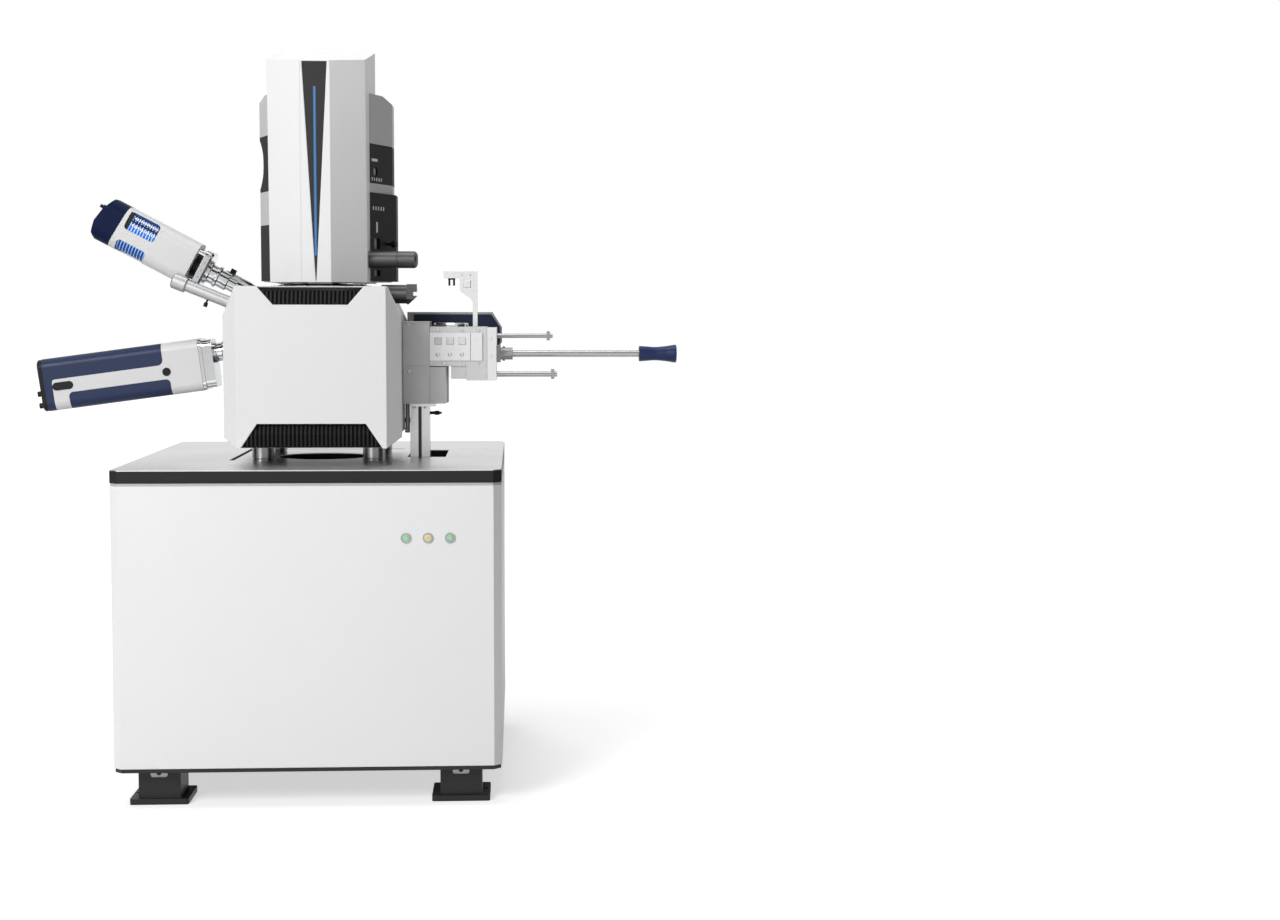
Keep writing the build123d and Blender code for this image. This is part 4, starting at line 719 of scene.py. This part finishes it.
# Contact combs: two white moulded strips of twelve teeth lie behind the upper window, on two rails. A black
# bracket at their end and a bar between them hold them to the fins' core.
DETECTOR_SEAT = (-0.3257, -0.0640, 1.2950)
DETECTOR_TILT = math.radians(28)
COMB_Y = (15.5, 34.5)
FIRST_TOOTH, TOOTH_PITCH, TEETH = 112.5, 5.3, 12
sine, cosine = math.sin(DETECTOR_TILT), math.cos(DETECTOR_TILT)
lean = Matrix(((0.0, sine, -cosine), (-1.0, 0.0, 0.0), (0.0, cosine, sine)))  # its z leads out of the chamber
detector = Matrix.Translation(DETECTOR_SEAT) @ lean.to_4x4()
teeth = [
    ((47.2, y, FIRST_TOOTH + TOOTH_PITCH * k), (50.6, y + 7.0, FIRST_TOOTH + 2.8 + TOOTH_PITCH * k))
    for y in COMB_Y for k in range(TEETH)
]
rails = [((46.6, y + 2.4, 109.5), (48.2, y + 4.4, 178.0)) for y in COMB_Y]
combs = bars("window_combs", "console", contact, detector, teeth + rails)
bracket = bars(
    "window_bracket", "console", vent_plastic, detector,
    [((46.5, 4.0, 180.5), (50.6, 49.0, 190.5)), ((46.0, 26.0, 109.0), (49.6, 30.5, 180.0))],
)


# Detector necks: turned and chromed tubes with their seats, and the square flange that carries the upper
# detector, which is milled from aluminium. The flange is told from the round parts by its size.
FLANGE_HEIGHT = (0.1, 0.16)
FLANGE_DEPTH = 0.1
FLANGE_INNER_X = -0.25


def is_flange(low, high):
    """Whether a solid of the detectors' ports is the square flange."""
    tall = FLANGE_HEIGHT[0] < high.z - low.z < FLANGE_HEIGHT[1]
    return int(tall and high.x < FLANGE_INNER_X and high.y - low.y > FLANGE_DEPTH)


# Blasted aluminium: a dry pale grey beside the bright neck.
port_grey = blasted("bead_blasted_aluminium_flange", "#B4B4B4", roughness=0.4)
dress_solids("detector_ports", [chrome, port_grey], is_flange)


# Spectrometer: a white painted housing of bent sheet on a slide, with navy panels let in flush on its upper
# and lower edges, a black moulded end with two plugs, and a chromed front.

# Sprayed navy: a full dark blue with a satin line along each bend.
navy_coat = coated("powder_coated_aluminium_navy", "#1B2849", roughness=0.40, cloud=0.04, gloss=0.25)
dress("eds_housing", shaded_shell_coat)
dress("eds_panels", navy_coat)
dress("eds_end_cap", vent_plastic)
dress("eds_snout", chrome)


# Slim tubes and fittings: the chamber camera and its lamp are aluminium tubes with clamp rings, and a pipe
# runs beside the post. Thumbscrews, plugs and the small valve are moulded in black plastic.

# Blasted tube: light grey, with one soft highlight along its length.
dress("chamber_tubes", blasted("bead_blasted_aluminium_tube", "#A9A9A9", roughness=0.5))
dress("small_fittings", vent_plastic)


# Load lock: machined aluminium blocks bolted to the chamber, with a split front plate and a sliding door.
# The gate's housing and the drive below it are the two blocks that reach low down near the chamber.
GATE_X = 0.28
GATE_Z = 1.0
# Blasted and dyed aluminium: a mid grey that sets the gate off from the lock.
grey_block = blasted("bead_blasted_anodised_aluminium_grey", "#A2A2A2", roughness=0.46, edge_mm=1.0)
# Blasted and clear-anodised plate: the palest grey of the lock.
pale_plate = blasted("bead_blasted_anodised_aluminium_pale", "#C4C4C4", roughness=0.40)
dress_solids(
    "load_lock_body", [aluminium, grey_block],
    lambda low, high: int(low.x < GATE_X and low.z < GATE_Z),
)
dress("lock_plates", pale_plate)
dress("lock_door", pale_plate)


# Post: an extruded aluminium profile with a slot down each side, cut to length and screwed under the lock
# and into the table. Faces further in than its skin belong to the slots.
SLOT_HALF = 0.0245
_, low, high = max(solids("lock_post"), key=lambda solid: solid[2].z - solid[1].z)
post = (low + high) / 2


def in_slot(at, normal):
    """Whether a face of the post lies in one of its slots."""
    return int(max(abs(at.x - post.x), abs(at.y - post.y)) < SLOT_HALF and abs(normal.z) < 0.5)


# Extruded aluminium: bright, with drawn lines up its length.
post_skin = ground("extruded_anodised_aluminium", "#C8C8C8", 0.28, along=ALONG_Z)
# The same metal inside the slots, painted dark grey and duller as painted shade.
post_slot_shade = ground("extruded_anodised_aluminium_painted_slot_shade", "#4A4A4A", 0.45, along=ALONG_Z)
dress_faces("lock_post", [post_skin, post_slot_shade], in_slot)


# Lock keys and rods: three moulded keys in the front plate, two chromed rods that guide the door, and the
# transfer rod of drawn aluminium, which slides through its sealed socket and ends in a moulded handle.

# Moulded polyester: white, with soft corners.
key_cap = moulded("moulded_pbt_key_white", "#EFEFEF", roughness=0.4, grain_mm=1.0, depth=0.0001)
for name in ("lock_button_1", "lock_button_2", "lock_button_3"):
    dress(name, key_cap)
# Chrome on a thin rod: painted darker than on the necks, as painted shade for the dark flags that a thin rod
# shows.
dress("guide_rods", polished("hard_chromed_guide_rod_painted_shade", "#9C9C9F", roughness=0.14))
dress("rod_socket", nickel)
# Drawn aluminium: a matt rod with one long highlight.
dress("transfer_rod", ground("drawn_anodised_aluminium_rod", "#A0A0A0", 0.32))
# Moulded nylon: full navy with a soft shine on the flare.
dress("rod_handle", moulded("moulded_nylon_navy", "#1B2A55", roughness=0.38, grain_mm=1.4))


# Lock window: a pane of float glass in a chromed ring, clamped over the lock's round opening, so that the
# specimen can be watched on its way in.

# Float glass: clear and hard-edged, with a faint green tint.
glass, *_ = surface("float_glass", "#F4F8F8", 0.02, IOR=1.5, Transmission_Weight=1.0)
dress("window_ring", chrome)
dress("window_glass", glass)


# Cap screws: turned and broached socket heads, stainless on the lock, collar and arm, black oxide on the
# tabs over the feet. Level ones look to the front or the back. Upright ones stand on the chamber's roof or,
# lower down, hang under the lock.
TAB_TOP = 0.1
ROOF_LOW = 1.1
SIDES = 24


def socket_head(shape, place, radius, height, black):
    """One screw head: a chamfered rim and a six-sided socket, standing up along its own z."""
    chamfer = 0.12 * radius
    hexagon = 0.56 * radius
    around = [2 * math.pi * k / SIDES for k in range(SIDES)]
    six = [hexagon * math.cos(math.pi / 6) / math.cos(a % (math.pi / 3) - math.pi / 6) for a in around]
    levels = (
        ([radius] * SIDES, 0.0), ([radius] * SIDES, height - chamfer), ([radius - chamfer] * SIDES, height),
        (six, height), (six, 0.45 * height),
    )
    rings = []
    for radii, z in levels:
        ring = [(r * math.cos(a), r * math.sin(a), z) for r, a in zip(radii, around)]
        rings.append([shape.verts.new(place @ Vector(point)) for point in ring])
    faces = [shape.faces.new(list(reversed(rings[0]))), shape.faces.new(rings[-1])]
    for lower, upper in zip(rings, rings[1:]):
        for k in range(SIDES):
            after = (k + 1) % SIDES
            faces.append(shape.faces.new((lower[k], lower[after], upper[after], upper[k])))
    for face in faces:
        face.material_index = int(black)


heads = bmesh.new()
for _, low, high in solids("cap_screws"):
    size = high - low
    middle = (low + high) / 2
    along = min(range(3), key=lambda k: abs(size[(k + 1) % 3] - size[(k + 2) % 3]))
    is_level = along == 1
    way = Vector((0.0, 0.0, 0.0))
    way[along] = math.copysign(1.0, middle.y if is_level else middle.z - ROOF_LOW)
    seat = middle - way * size[along] / 2
    turn = way.to_track_quat("Z", "Y").to_matrix().to_4x4()
    radius = size[(along + 1) % 3] / 2
    socket_head(heads, Matrix.Translation(seat) @ turn, radius, size[along], middle.z < TAB_TOP)
mesh = bpy.data.meshes.new("socket_screws")
heads.to_mesh(mesh)
heads.free()
mesh.materials.append(stainless)
# Black oxide: a thin dark skin on the steel, between satin and matt.
mesh.materials.append(moulded("black_oxide_steel", "#151515", roughness=0.35, grain_mm=0.8, depth=0.0001))
screws = bpy.data.objects.new("socket_screws", mesh)
scene.collection.objects.link(screws)
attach(screws, "console")
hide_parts("cap_screws")


# Rear detector: a long box behind the load lock, its plated frame cast in one piece and its front closed by
# a painted panel.

# Sprayed navy: painted duller than the spectrometer's, as painted shade from the lock.
rear_navy_shade = coated("powder_coated_aluminium_navy_painted_shade", "#1B2439", roughness=0.42, cloud=0.03, gloss=0.2)
dress("rear_detector_frame", nickel)
dress("rear_detector_panel", rear_navy_shade)
